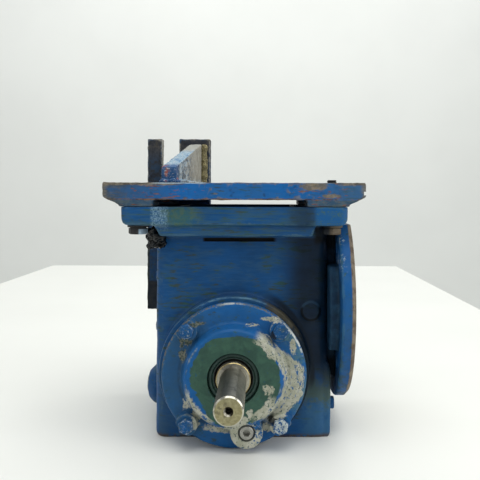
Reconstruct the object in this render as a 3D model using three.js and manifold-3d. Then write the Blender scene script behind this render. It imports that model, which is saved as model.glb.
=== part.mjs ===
// Right-angle worm gearbox, standing feet-up on the bottom face of its housing.
// Millimetres, +Z up. The output shaft lies on the line X = 0, Z = WHEEL_Z and points to -Y.
// The worm lies on the line Y = 0, Z = WORM_Z and is driven from the +X side.
import * as THREE from 'three';
import { mergeVertices } from 'three/addons/utils/BufferGeometryUtils.js';
import Module from 'manifold-3d';

const wasm = await Module();
wasm.setup();

// ---- driving dimensions (mm) ----
const GAP = 0.3;                 // clearance kept between separate pieces
const WHEEL_Z = 71;              // output shaft height
const CENTRE_DISTANCE = 61;      // worm axis to wheel axis
const WORM_Z = WHEEL_Z + CENTRE_DISTANCE;
const MODULE = 3;                // axial module of the worm
const WHEEL_TEETH = 30;
const WHEEL_PITCH_R = MODULE * WHEEL_TEETH / 2;
const WORM_PITCH_R = CENTRE_DISTANCE - WHEEL_PITCH_R;
const BODY = { x0: -80, x1: 93, y: 65, top: 205, corner: 12 };
const BOSS_R = 74, BOSS_FACE_Y = -84;
const CAP_R = 70, CAP_FACE_Y = -96, HUB_R = 46.5, HUB_FACE_Y = -110, PAD_FACE_Y = -104;
const CAP_BOLT_R = 63.3;         // radius of the cap's bolt circle
const SHAFT_R = 12.5, SHAFT_END_Y = -199, SEAL_JOURNAL_R = 16.4;
const FOOT = { x: 109.5, y: 100, z0: 215, z1: 233, mid: 94.5 };
const PLATE = { x: 126, y: 100, z0: 239.8, z1: 256.3 };
const FOOT_BOLT = { x: 95.5, y: 78, r: 5, af: 17 };
const FLANGE = { r: 104, x0: 103, x1: 116.8, neck: 85, top: 214.6, registerR: 65, registerDepth: 4.5, boltR: 82.5 };
const QUILL_BORE_R = 12;
const SIDE_BOSS = { r: 21.5, z: 36 };
const SPLIT_Z = 204;             // level where the gear case ends and the foot flange begins
const FORK = { x0: -118, x1: -39, y0: 100.3, y1: 117, z0: 100, z1: 315, slot0: -99.8, slot1: -78, slotZ: 251 };

// ---- solids from three.js geometry ----
const toSolid = (geometry) => {
  let g = geometry.clone();
  for (const k of Object.keys(g.attributes)) if (k !== 'position') g.deleteAttribute(k);
  g = mergeVertices(g, 1e-4);
  const p = g.attributes.position.array, src = g.index.array, idx = [];
  let vol = 0;
  for (let i = 0; i < src.length; i += 3) {
    const [a, b, c] = [src[i], src[i + 1], src[i + 2]];
    if (a === b || b === c || a === c) continue;
    idx.push(a, b, c);
    const [ax, ay, az, bx, by, bz, cx, cy, cz] = [p[3 * a], p[3 * a + 1], p[3 * a + 2], p[3 * b], p[3 * b + 1], p[3 * b + 2], p[3 * c], p[3 * c + 1], p[3 * c + 2]];
    vol += ax * (by * cz - bz * cy) - ay * (bx * cz - bz * cx) + az * (bx * cy - by * cx);
  }
  if (vol < 0) for (let i = 0; i < idx.length; i += 3) [idx[i], idx[i + 1]] = [idx[i + 1], idx[i]];
  return new wasm.Manifold(new wasm.Mesh({ numProp: 3, vertProperties: new Float32Array(p), triVerts: new Uint32Array(idx) }));
};
const toGeometry = (solid) => {
  const m = solid.getMesh();
  const g = new THREE.BufferGeometry();
  g.setAttribute('position', new THREE.BufferAttribute(new Float32Array(m.vertProperties), 3));
  g.setIndex(new THREE.BufferAttribute(new Uint32Array(m.triVerts), 1));
  g.computeVertexNormals();
  return g;
};
// turn a geometry built along +Y so that it runs along the named axis, then move its axis to (c1, c2)
const along = (g, axis, c1 = 0, c2 = 0) => {
  if (axis === 'x') { g.rotateZ(-Math.PI / 2); g.translate(0, c1, c2); }
  if (axis === 'y') g.translate(c1, 0, c2);
  if (axis === 'z') { g.rotateX(Math.PI / 2); g.translate(c1, c2, 0); }
  return g;
};
const cyl = (axis, r, a, b, c1 = 0, c2 = 0, seg = 24, r2 = r) => {
  const g = new THREE.CylinderGeometry(r2, r, b - a, seg);
  g.translate(0, (a + b) / 2, 0);
  return toSolid(along(g, axis, c1, c2));
};
const box = (x0, x1, y0, y1, z0, z1) => {
  const g = new THREE.BoxGeometry(x1 - x0, y1 - y0, z1 - z0);
  g.translate((x0 + x1) / 2, (y0 + y1) / 2, (z0 + z1) / 2);
  return toSolid(g);
};
const lathe = (axis, pts, c1 = 0, c2 = 0, seg = 32) => {
  const v = pts.map(([r, a]) => new THREE.Vector2(r, a));
  if (pts[0][0] > 0) v.push(v[0].clone());
  return toSolid(along(new THREE.LatheGeometry(v, seg), axis, c1, c2));
};
const ring = (axis, r0, r1, a, b, c1, c2, seg = 32) => lathe(axis, [[r0, a], [r1, a], [r1, b], [r0, b]], c1, c2, seg);
// extrude a closed XY outline from z0 to z1
const extrude = (pts, z0, z1) => {
  const s = Array.isArray(pts) ? new THREE.Shape(pts.map(([x, y]) => new THREE.Vector2(x, y))) : pts;
  const g = new THREE.ExtrudeGeometry(s, { depth: z1 - z0, bevelEnabled: false, curveSegments: 4 });
  g.translate(0, 0, z0);
  return g;
};
const prismZ = (pts, z0, z1) => toSolid(extrude(pts, z0, z1));
// outline given in X, Z and pushed along Y from y0 to y1
const prismY = (pts, y0, y1) => { const g = extrude(pts, -y1, -y0); g.rotateX(Math.PI / 2); return toSolid(g); };
// outline given in Y, Z and pushed along X from x0 to x1
const prismX = (pts, x0, x1) => { const g = extrude(pts, x0, x1); g.rotateX(Math.PI / 2); g.rotateZ(Math.PI / 2); return toSolid(g); };
const roundRect = (x0, x1, y0, y1, r) => {
  const s = new THREE.Shape();
  s.moveTo(x0 + r, y0); s.lineTo(x1 - r, y0); s.absarc(x1 - r, y0 + r, r, -Math.PI / 2, 0);
  s.lineTo(x1, y1 - r); s.absarc(x1 - r, y1 - r, r, 0, Math.PI / 2);
  s.lineTo(x0 + r, y1); s.absarc(x0 + r, y1 - r, r, Math.PI / 2, Math.PI);
  s.lineTo(x0, y0 + r); s.absarc(x0 + r, y0 + r, r, Math.PI, 1.5 * Math.PI);
  return s;
};
const frustum = (a, b) => {      // box whose bottom rectangle a and top rectangle b differ: [x0,x1,y0,y1,z]
  const g = new THREE.BoxGeometry(1, 1, 1), p = g.attributes.position;
  for (let i = 0; i < p.count; i++) {
    const q = p.getZ(i) < 0 ? a : b;
    p.setXYZ(i, p.getX(i) < 0 ? q[0] : q[1], p.getY(i) < 0 ? q[2] : q[3], q[4]);
  }
  return toSolid(g);
};
const add = (first, ...rest) => rest.reduce((s, t) => s.add(t), first);
const cut = (first, ...rest) => rest.reduce((s, t) => s.subtract(t), first);

// ---- materials ----
const paint = (c, rough = 0.5) => new THREE.MeshStandardMaterial({ color: c, roughness: rough, metalness: 0.1 });
const metal = (c, rough = 0.35) => new THREE.MeshStandardMaterial({ color: c, roughness: rough, metalness: 1 });
const BLUE = paint(0x1c4f8c), STEEL = metal(0x9a948a), BRIGHT = metal(0xb9b6ae, 0.22), IRON = metal(0x55524e, 0.6);
const BRONZE = metal(0xb07a3a, 0.35), RUBBER = paint(0x151515, 0.7), PAPER = paint(0x6a5236, 0.9), DARK = metal(0x3a332c, 0.6);

const gearbox = new THREE.Group();
const node = (name, solid, material, parent = gearbox) => {
  const mesh = new THREE.Mesh(solid.isBufferGeometry ? solid : toGeometry(solid), material);
  mesh.name = name;
  parent.add(mesh);
  return mesh;
};
const quad = [[-1, 1], [1, 1], [-1, -1], [1, -1]];
const capBoltAt = quad.map(([sx, sz]) => [sx * CAP_BOLT_R * Math.SQRT1_2, WHEEL_Z + sz * CAP_BOLT_R * Math.SQRT1_2]);
const coverBoltAt = quad.map(([sy, sz]) => [sy * 37.6 * Math.SQRT1_2, WORM_Z + sz * 37.6 * Math.SQRT1_2]);
const flangeScrewAt = [[-24, 50], [24, 50], [-24, -50], [24, -50]].map(([y, z]) => [y, WORM_Z + z]);
const footBoltAt = quad.map(([sx, sy]) => [sx * FOOT_BOLT.x, -sy * FOOT_BOLT.y]);

// ---- housing: cast box with boss, foot flange and bearing pedestals ----
{
  const { x0, x1, y, top, corner } = BODY;
  let s = prismZ(roundRect(x0, x1, -y, y, corner), 0, top + 6);
  // soft lower edge along X on the front and back
  s = s.intersect(prismX([[-y, 6], [-y + 2, 1.5], [-y + 6, 0], [y - 6, 0], [y - 2, 1.5], [y, 6], [y, 240], [-y, 240]], x0 - 1, x1 + 1));
  s = s.intersect(prismY([[x0, 5], [x0 + 1.5, 1.5], [x0 + 5, 0], [x1 - 5, 0], [x1 - 1.5, 1.5], [x1, 5], [x1, 240], [x0, 240]], -y - 1, y + 1));
  // tapered band under the foot flange
  s = add(s, frustum([-73, 76, -88, 88, 204], [-80, 80, -90, 90, FOOT.z0 + 1]));
  // foot flange with corner pads, shallow recesses between them and a rounded underside
  const F = FOOT, pad = [];
  const corners = [[1, 1], [-1, 1], [-1, -1], [1, -1]];
  const edge = (a, b) => pad.push([a, b]);
  corners.forEach(([sx, sy], i) => {
    const px = sx * F.x, py = sy * F.y, r = 8;
    const along1 = [[sx * (F.x - 5), sy * 50], [sx * (F.x - 4.4), sy * 55], [px, sy * 60]];
    const along2 = [[sx * 78, py], [sx * 74, sy * (F.y - 1.2)], [sx * 69, sy * (F.mid + 0.9)], [sx * 63, sy * F.mid]];
    const arc = [0, 1, 2, 3, 4].map((k) => { const t = k * Math.PI / 8; return [px - sx * r + sx * r * Math.cos(t), py - sy * r + sy * r * Math.sin(t)]; });
    let seq = [...along1, ...arc, ...along2];
    if (i % 2) seq = seq.reverse();
    seq.forEach(([a, b]) => edge(a, b));
  });
  let foot = prismZ(pad, F.z0, F.z1);
  foot = foot.intersect(prismY([[-F.x - 1, F.z1], [-F.x - 1, F.z0 + 8], [-F.x, F.z0 + 8], [-F.x + 0.9, F.z0 + 4.2], [-F.x + 3.6, F.z0 + 1.3], [-F.x + 8, F.z0],
    [F.x - 8, F.z0], [F.x - 3.6, F.z0 + 1.3], [F.x - 0.9, F.z0 + 4.2], [F.x, F.z0 + 8], [F.x + 1, F.z0 + 8], [F.x + 1, F.z1]], -120, 120));
  s = add(s, foot);
  // front boss that carries the bearing cap, flat at the floor
  s = add(s, cyl('y', BOSS_R, BOSS_FACE_Y, -60, 0, WHEEL_Z, 40).intersect(box(-100, 100, -100, 0, 0.4, 160)));
  // rear boss over the rear bearing
  s = add(s, cyl('y', 45, 60, 71, 0, WHEEL_Z, 32, 42));
  // small cast disc on the front face, and the two side bosses low on the left and right
  s = add(s, cyl('y', 9.5, -67, -60, 76, 128, 16).intersect(box(40, x1 - 6, -70, -50, 100, 150)));
  s = add(s, lathe('x', [[0, -60], [SIDE_BOSS.r, -60], [SIDE_BOSS.r, -88.5], [SIDE_BOSS.r - 1, -90.4], [14.4, -97], [0, -97]], 0, SIDE_BOSS.z, 24));
  // inside: chamber, wheel opening, pedestals, bores
  let hollow = box(-70, 82, -54, 54, 10, 193);
  hollow = cut(hollow, cyl('x', 46, 62, 84, 0, WORM_Z, 24), cyl('x', 41, -71, -57.5, 0, WORM_Z, 24), cyl('y', 41, 30, 56, 0, WHEEL_Z, 24), ring('y', 53, 76, -60, -49, 0, WHEEL_Z, 32));
  s = cut(s, hollow, cyl('y', 54.4, -90, -48, 0, WHEEL_Z, 40), box(-60, 60, -72, 72, 210, FOOT.z1 + 1));
  s = cut(s, cyl('x', 36 + GAP, 59, 94, 0, WORM_Z, 24), cyl('x', 31 + GAP, -90, -56, 0, WORM_Z, 24));
  // shallow pocket that takes the worm's end cover
  s = cut(s, cyl('x', 44.4, -90, -76, 0, WORM_Z, 32));
  s = cut(s, cyl('y', 31 + GAP, 29, 52, 0, WHEEL_Z, 24));
  // drilled and tapped holes
  for (const [x, z] of capBoltAt) s = cut(s, cyl('y', 4.7, -90, -62, x, z, 8));
  for (const [yy, z] of coverBoltAt) s = cut(s, cyl('x', 3.6, -85, -66.5, yy, z, 8));
  for (const [yy, z] of flangeScrewAt) s = cut(s, cyl('x', 4.7, 78, 95, yy, z, 8));
  for (const [x, yy] of footBoltAt) s = cut(s, cyl('z', 5.8, 200, 240, x, yy, 10));
  s = cut(s, cyl('x', 9 + GAP, -98, -60, 0, SIDE_BOSS.z, 16), cyl('x', 6.4 + GAP, 70, 95, -46, 30, 12));
  // the gear case and the foot flange meet at the lower edge of the band
  node('housing', s.intersect(box(-130, 130, -130, 130, -10, SPLIT_Z - GAP / 2)), BLUE);
  node('foot_flange', s.intersect(box(-130, 130, -130, 130, SPLIT_Z + GAP / 2, 260)), BLUE);
}

// ---- front bearing cap ----
{
  let s = lathe('y', [[0, -62], [53.7, -62], [53.7, -85.6], [CAP_R, -85.6], [CAP_R, CAP_FACE_Y + 2], [CAP_R - 2, CAP_FACE_Y], [52, CAP_FACE_Y],
    [49.5, CAP_FACE_Y - 1.5], [HUB_R + 0.8, HUB_FACE_Y + 2.5], [HUB_R - 1.5, HUB_FACE_Y], [0, HUB_FACE_Y]], 0, WHEEL_Z, 40);
  for (const [x, z] of capBoltAt) s = add(s, cyl('y', 10.5, PAD_FACE_Y, CAP_FACE_Y + 1, x, z, 16).intersect(cyl('y', CAP_R, -110, -80, 0, WHEEL_Z, 40)));
  s = add(s, cyl('y', 15.5, -108, -90, 12.6, 20.6, 20));
  s = cut(s, cyl('y', 24.5 + GAP, -115, -98, 0, WHEEL_Z, 32), cyl('y', 19.5, -99, -87, 0, WHEEL_Z, 24), cyl('y', 31 + GAP, -88, -60, 0, WHEEL_Z, 24));
  for (const [x, z] of capBoltAt) s = cut(s, cyl('y', 4.7, -115, -80, x, z, 8));
  s = cut(s, cyl('y', 6.5 + GAP, -112, -97.6, 12.6, 20.6, 16));
  node('front_cap', s, BLUE);
  let gasket = ring('y', 54.2, CAP_R - 0.4, -85.3, -84.3, 0, WHEEL_Z, 32);
  for (const [x, z] of capBoltAt) gasket = cut(gasket, cyl('y', 4.8, -90, -80, x, z, 8));
  node('cap_gasket', gasket, PAPER);
  let plug = cut(cyl('y', 6.5, -108.8, -98, 12.6, 20.6, 16), cyl('y', 3.7, -112, -103, 12.6, 20.6, 6));
  node('cap_plug', plug, STEEL);
}

// ---- fasteners ----
// hexagon head on z = 0 .. head, shank from z = 0 down to -length
const hexBolt = (r, af, head, length, washerFace = 0.6) => {
  const R = af / 2 / Math.cos(Math.PI / 6);
  const hex = add(cyl('z', R, washerFace, head - 1, 0, 0, 6), cyl('z', R, head - 1, head, 0, 0, 6, R * 0.86));
  return toGeometry(add(hex, cyl('z', af / 2 * 0.96, 0, washerFace + 0.2, 0, 0, 12), cyl('z', r, -length, 0.2, 0, 0, 8)));
};
const socketScrew = (r, headR, head, length, key) => toGeometry(cut(add(cyl('z', headR, 0, head, 0, 0, 12), cyl('z', r, -length, 0.2, 0, 0, 8)), cyl('z', key, head * 0.45, head + 1, 0, 0, 6)));
const capBolts = new THREE.Group(), coverBolts = new THREE.Group(), footBolts = new THREE.Group(), flangeScrews = new THREE.Group();
gearbox.add(capBolts, coverBolts, footBolts, flangeScrews);
capBoltAt.forEach(([x, z], i) => {
  const m = node(`cap_bolt_${i + 1}`, hexBolt(4, 13, 5.6, 39), BLUE, capBolts);
  m.position.set(x, PAD_FACE_Y - GAP, z); m.rotation.set(Math.PI / 2, 0, 0); m.rotateZ(0.3 + i * 0.7);
});
coverBoltAt.forEach(([y, z], i) => {
  const m = node(`end_cover_bolt_${i + 1}`, hexBolt(3, 10, 3.8, 13), BLUE, coverBolts);
  m.position.set(-81.3 - GAP, y, z); m.rotation.set(0, -Math.PI / 2, 0); m.rotateZ(0.2 + i * 0.5);
});
flangeScrewAt.forEach(([y, z], i) => {
  const m = node(`flange_screw_${i + 1}`, socketScrew(4, 6.5, 8, 25, 3.4), DARK, flangeScrews);
  m.position.set(104.3, y, z); m.rotation.set(0, Math.PI / 2, 0);
});
footBoltAt.forEach(([x, y], i) => {
  const tall = i === 1 ? 47 : 43;        // the bolt at +X, -Y stands proud of the plate
  const m = node(`foot_bolt_${i + 1}`, hexBolt(FOOT_BOLT.r, FOOT_BOLT.af, 6.6, tall), DARK, footBolts);
  m.position.set(x, y, FOOT.z0 - 2 * GAP - 2); m.rotation.set(Math.PI, 0, 0); m.rotateZ(0.1 + i * 0.4);
  node(`foot_washer_${i + 1}`, ring('z', FOOT_BOLT.r + 0.5, 10.6, FOOT.z0 - GAP - 2, FOOT.z0 - GAP, x, y, 16), DARK, footBolts);
});

// ---- motor flange: round face with a female register, neck with pockets behind the four motor bolts ----
{
  const F = FLANGE;
  let neck = lathe('x', [[0, 93.3], [F.neck, 93.3], [F.neck, F.x0 + 1], [0, F.x0 + 1]], 0, WORM_Z, 36);
  const span = (sign, centre) => (sign < 0 ? [centre - 120, centre - 42] : [centre + 42, centre + 120]);
  for (const [sy, sz] of quad) neck = cut(neck, box(90, F.x0, ...span(sy, 0), ...span(sz, WORM_Z)));
  let s = lathe('x', [[0, F.x0], [F.r - 1, F.x0], [F.r, F.x0 + 1], [F.r, F.x1 - 3.6], [F.r - 3.4, F.x1], [0, F.x1]], 0, WORM_Z, 60);
  s = add(s, neck, cyl('x', 35.7, 85.6, 94, 0, WORM_Z, 24));
  s = cut(s, cyl('x', F.registerR, F.x1 - F.registerDepth, F.x1 + 1, 0, WORM_Z, 36), cyl('x', 46, 104, F.x1, 0, WORM_Z, 24));
  s = cut(s, cyl('x', 30, 84, 95, 0, WORM_Z, 28), cyl('x', 22.5, 94, 105, 0, WORM_Z, 24));
  for (const [y, z] of flangeScrewAt) s = cut(s, cyl('x', 4.7, 90, 106, y, z, 8), cyl('x', 7.4, 104, F.x1 + 1, y, z, 12));
  for (const [sy, sz] of quad) s = cut(s, cyl('x', 5.8, 95, F.x1 + 1, sy * F.boltR * Math.SQRT1_2, WORM_Z + sz * F.boltR * Math.SQRT1_2, 14));
  s = s.intersect(box(60, 130, -120, 120, -20, F.top));
  // the neck with its pockets and the round face plate
  node('flange_neck', s.intersect(box(60, F.x0 - GAP / 2, -120, 120, -20, 260)), BLUE);
  node('motor_flange', s.intersect(box(F.x0 + GAP / 2, 130, -120, 120, -20, 260)), BLUE);
}

// ---- plates bolted and welded above the foot flange ----
{
  const P = PLATE;
  let s = prismY([[-P.x, P.z0 + 2.6], [-P.x + 3.2, P.z0 + 1.1], [-P.x + 6, P.z0], [P.x - 6, P.z0], [P.x - 3.2, P.z0 + 1.1], [P.x, P.z0 + 2.6], [P.x, P.z1], [-P.x, P.z1]], -P.y, P.y);
  // raised pads under the four corners, flared outwards where they meet the plate
  const flare = [[110, 233.3], [110.4, 235.6], [113, 236.3], [118.6, 239], [122.8, 240.9], [P.x, 242.4]];
  const padR = [[70, P.z0 + 3], [70, 233.3], ...flare, [P.x, P.z0 + 3]];
  const padL = [[-78, P.z0 + 3], [-78, 233.3], ...flare.map(([x, z]) => [-x, z]), [-P.x, P.z0 + 3]];
  for (const pad of [padL, padR]) s = add(s, prismY(pad, -P.y, -56), prismY(pad, 56, P.y));
  // small chipped notch at the front right corner
  s = cut(s, box(P.x - 2.2, P.x + 1, -P.y - 1, -P.y + 40, 244.5, 248));
  for (const [x, y] of footBoltAt) s = cut(s, cyl('z', FOOT_BOLT.r + 0.7, 230, 260, x, y, 10));
  node('adapter_plate', s, BLUE);

  const K = FORK, mid = (K.slot0 + K.slot1) / 2, r = (K.slot1 - K.slot0) / 2;
  let fork = prismY([[K.x0, K.z0], [K.x1, K.z0 + 0], [K.x1, K.z1], [K.x0, K.z1]], K.y0, K.y1);
  fork = cut(fork, box(K.slot0, K.slot1, K.y0 - 1, K.y1 + 1, K.slotZ + r, K.z1 + 1), cyl('y', r, K.y0 - 1, K.y1 + 1, mid, K.slotZ + r, 24));
  node('fork_plate', fork, BLUE);

  const gusset = prismX([[-91, 0], [91, 0], [91, 51], [84, 51], [-91, 15.5]], -7.2, 7.2);
  const g = node('gusset', gusset, BLUE);
  g.position.set(-60.6, 8.4, P.z1 + GAP); g.rotation.set(0, 0, -0.048);
}

// ---- output side: shaft, key, bronze wheel, taper roller bearings, seal ----
{
  const Z = WHEEL_Z;
  let s = lathe('y', [[0, SHAFT_END_Y], [SHAFT_R - 1.4, SHAFT_END_Y], [SHAFT_R, SHAFT_END_Y + 1.4], [SHAFT_R, -112], [SEAL_JOURNAL_R - 0.6, -111.6], [SEAL_JOURNAL_R, -111],
    [SEAL_JOURNAL_R, -87], [17.2, -86.8], [17.2, -24.4], [19, -24.4], [19, 24.3], [23, 24.3], [23, 31.9], [17.2, 31.9], [17.2, 50], [0, 50]], 0, Z, 28);
  s = cut(s, cyl('y', 1.6, -200, -187, 0, Z, 8), lathe('y', [[0, SHAFT_END_Y - 1], [4.6, SHAFT_END_Y - 1], [3.9, SHAFT_END_Y], [1.6, -195], [0, -195]], 0, Z, 16));
  // keyway of the shaft end, on the underside, with round ends
  s = cut(s, box(-4, 4, -190, -154, Z - 14, Z - 8.5), cyl('z', 4, Z - 14, Z - 8.5, 0, -190, 12), cyl('z', 4, Z - 14, Z - 8.5, 0, -154, 12));
  // keyway of the wheel seat
  s = cut(s, box(-5 - GAP, 5 + GAP, -20 - GAP, 20 + GAP, Z + 14, Z + 20));
  node('output_shaft', s, BRIGHT);
  node('wheel_key', box(-5, 5, -20, 20, Z + 14 + GAP, Z + 21.7), STEEL);
  node('wheel_spacer', ring('y', 17.5, 21.5, -67.6, -24.7, 0, Z, 24), STEEL);
  let hub = lathe('y', [[19.3, -24], [28, -24], [28, -12], [34.4, -12], [34.4, 12], [28, 12], [28, 24], [19.3, 24]], 0, Z, 30);
  hub = cut(hub, box(-5 - GAP, 5 + GAP, -25, 25, Z + 15, Z + 22));
  node('wheel_hub', hub, IRON);

  // toothed bronze rim: straight-sided teeth on a slight helix that matches the worm's lead
  const lead = Math.atan(MODULE / (2 * WORM_PITCH_R)), outline = [], N = WHEEL_TEETH, step = 2 * Math.PI / N;
  const flank = [[41.2, 3.25], [45, 2.1], [47.7, 1.05]];   // radius, half thickness
  for (let k = 0; k < N; k++) {
    const a0 = Math.PI / 2 + k * step + step / 2;
    for (const [r, h] of flank) outline.push([r, a0 - h / r]);
    for (const [r, h] of [...flank].reverse()) outline.push([r, a0 + h / r]);
  }
  const shape = new THREE.Shape(outline.map(([r, a]) => new THREE.Vector2(r * Math.cos(a), r * Math.sin(a))));
  const holeR = 34.8, hole = new THREE.Path();
  hole.absarc(0, 0, holeR, 0, 2 * Math.PI, true);
  shape.holes.push(hole);
  const width = 26, gear = new THREE.ExtrudeGeometry(shape, { depth: width, steps: 2, bevelEnabled: false, curveSegments: 15 });
  gear.translate(0, 0, -width / 2);
  const p = gear.attributes.position;
  for (let i = 0; i < p.count; i++) {
    const w = p.getZ(i), t = w * Math.tan(lead) / WHEEL_PITCH_R, x = p.getX(i), y = p.getY(i);
    p.setXYZ(i, x * Math.cos(t) - y * Math.sin(t), x * Math.sin(t) + y * Math.cos(t), w);
  }
  gear.rotateX(Math.PI / 2); gear.translate(0, 0, Z);
  const rim = toSolid(gear);
  node('wheel_rim', rim, BRONZE);

  const taper = (name, y0, dir) => {     // 35 x 62 x 18 bearing, wide end of the rollers towards +dir
    const at = (v) => (dir > 0 ? y0 + v : y0 + 18 - v);
    node(`${name}_cup`, lathe('y', [[31, at(0)], [31, at(15)], [26.2, at(15)], [28.2, at(0)]], 0, Z, 24), STEEL);
    node(`${name}_cone`, lathe('y', [[17.5, at(1)], [17.5, at(18)], [24.2, at(18)], [24.2, at(16.4)], [21.2, at(16.4)], [22.6, at(1)]], 0, Z, 24), BRIGHT);
    let cage = lathe('y', [[24.0, at(4.4)], [25.6, at(4.4)], [24.2, at(15.4)], [22.9, at(15.4)]], 0, Z, 20);
    for (let k = 0; k < 10; k++) {
      const g = new THREE.CylinderGeometry(dir > 0 ? 2.0 : 2.45, dir > 0 ? 2.45 : 2.0, 10.8, 6);
      g.rotateX(dir > 0 ? -0.105 : 0.105);
      g.translate(0, at(9.9), 24.35);
      g.rotateY(k * 2 * Math.PI / 10); g.translate(0, 0, Z);
      cage = add(cage, toSolid(g));
    }
    node(`${name}_rollers`, cage, STEEL);
  };
  taper('front_bearing', -86, 1);
  taper('rear_bearing', 32.2, -1);
  // lip seal: pressed case with a rubber lip around the journal
  node('output_seal', lathe('y', [[24.5, -106], [24.5, -98.3], [19.8, -98.3], [17, -99.4], [16.7, -102.5], [18.8, -106.6], [20.2, -106.6], [21, -105.4]], 0, Z, 32), RUBBER);
}

// ---- worm side: hollow input shaft with the worm, ball bearings, seal, nut, end cover ----
{
  const Z = WORM_Z, pitch = Math.PI * MODULE, rTip = WORM_PITCH_R + 2.8, rRoot = WORM_PITCH_R - 3.6;
  let s = lathe('x', [[0, -79], [13.2, -79], [13.7, -78.5], [13.7, -74], [14.7, -74], [14.7, -57.5], [20, -57.5], [20, -50], [14.5, -48], [14.5, -33], [rRoot, -30], [rRoot, 30],
    [14.5, 33], [14.5, 44], [20.8, 46], [20.8, 67.7], [17, 67.7], [17, 107.4], [16.6, 108], [0, 108]], 0, Z, 24);
  // single-start thread: a four-sided bar laid along a helix
  const turns = 6, H = turns * pitch, seg = 12;
  const bar = new THREE.CylinderGeometry(1, 1, 1, 4, turns * seg), q = bar.attributes.position;
  const prof = [[rRoot - 1.2, 3.36 + 0.3], [rTip, 1.02], [rTip, -1.02], [rRoot - 1.2, -3.66]];
  for (let i = 0; i < q.count; i++) {
    const x = q.getX(i), z = q.getZ(i), t = q.getY(i) + 0.5;
    let r, h;
    if (Math.hypot(x, z) < 0.5) { r = (rRoot + rTip) / 2 - 1; h = 0; }
    else { const j = ((Math.round(Math.atan2(x, z) / (Math.PI / 2)) % 4) + 4) % 4; [r, h] = prof[j]; }
    const a = 2 * Math.PI * turns * (t - 0.5) - Math.PI / 2;
    const ax = (t - 0.5) * H + h;
    q.setXYZ(i, ax, r * Math.cos(a), r * Math.sin(a));
  }
  bar.translate(0, 0, Z);
  s = add(s, toSolid(bar).intersect(cyl('x', 40, -27, 27, 0, Z, 12)));
  // bore for the motor shaft with its keyway
  s = cut(s, cyl('x', QUILL_BORE_R, 50, 112, 0, Z, 24), box(50, 112, -4, 4, Z + 8, Z + 15.3));
  node('worm_shaft', s, STEEL);

  const ball = (name, x0, r0, r1, w, n) => {
    const rb = (r1 - r0) * 0.27, rm = (r0 + r1) / 2, xm = x0 + w / 2, e = rb + 0.45, h = (r1 - r0) * 0.2;
    const groove = (sgn, base) => [-0.66, 0, 0.66].map((t) => [rm + sgn * Math.sqrt(e * e - (t * e) ** 2), xm + t * e]);
    const lip = Math.sqrt(e * e - (0.66 * e) ** 2);
    node(`${name}_outer_race`, lathe('x', [[r1, x0], [r1, x0 + w], [rm + lip, x0 + w], ...groove(1).reverse(), [rm + lip, x0]], 0, Z, 24), STEEL);
    node(`${name}_inner_race`, lathe('x', [[r0, x0], [rm - lip, x0], ...groove(-1), [rm - lip, x0 + w], [r0, x0 + w]], 0, Z, 20), BRIGHT);
    let cage = ring('x', rm - 1, rm + 1, xm - 1.4, xm + 1.4, 0, Z, 18);
    for (let k = 0; k < n; k++) {
      const g = new THREE.SphereGeometry(rb, 6, 4);
      g.translate(0, 0, rm); g.rotateX(k * 2 * Math.PI / n); g.translate(xm, 0, Z);
      cage = add(cage, toSolid(g));
    }
    node(`${name}_balls`, cage, BRIGHT);
  };
  ball('worm_inner_bearing', -74, 15, 31, 16, 7);
  ball('worm_outer_bearing', 68, 17.5, 36, 17, 7);
  node('input_seal', lathe('x', [[29.7, 86.4], [29.7, 93.7], [19, 93.7], [17.5, 90], [20, 86.4]], 0, Z, 28), RUBBER);
  let nut = cut(ring('x', 14, 20.5, -78.6, -74.3, 0, Z, 24));
  for (let k = 0; k < 4; k++) { const g = new THREE.BoxGeometry(6, 4, 3); g.translate(0, 0, 20.5); g.rotateX(k * Math.PI / 2); g.translate(-76.5, 0, Z); nut = cut(nut, toSolid(g)); }
  node('worm_lock_nut', nut, DARK);
  let cover = add(lathe('x', [[0, -81.3], [43, -81.3], [44, -80.3], [44, -77.2], [0, -77.2]], 0, Z, 32), cyl('x', 31, -78, -74.3, 0, Z, 24));
  cover = cut(cover, cyl('x', 24, -79.4, -74, 0, Z, 24));
  for (const [y, z] of coverBoltAt) cover = cut(cover, cyl('x', 3.7, -90, -75, y, z, 8));
  node('worm_end_cover', cover, BLUE);
  let gasket = ring('x', 31.8, 43.5, -76.9, -76.3, 0, Z, 24);
  for (const [y, z] of coverBoltAt) gasket = cut(gasket, cyl('x', 3.8, -85, -75, y, z, 8));
  node('end_cover_gasket', gasket, PAPER);
}

// ---- pipe plugs ----
{
  const side = cut(cyl('x', 9, -98.2, -78, 0, SIDE_BOSS.z, 16), cyl('x', 5.6, -99, -91, 0, SIDE_BOSS.z, 6));
  node('side_plug', side, BLUE);
  const drain = add(cyl('x', 6.4, 80, 94.5, -46, 30, 16), cyl('x', 6.6, 93.4, 100, -46, 30, 6));
  node('drain_plug', drain, BLUE);
}

export default gearbox;
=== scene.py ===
import math
import bpy
import bmesh
import numpy as np
from mathutils import Matrix, Vector, noise


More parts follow.
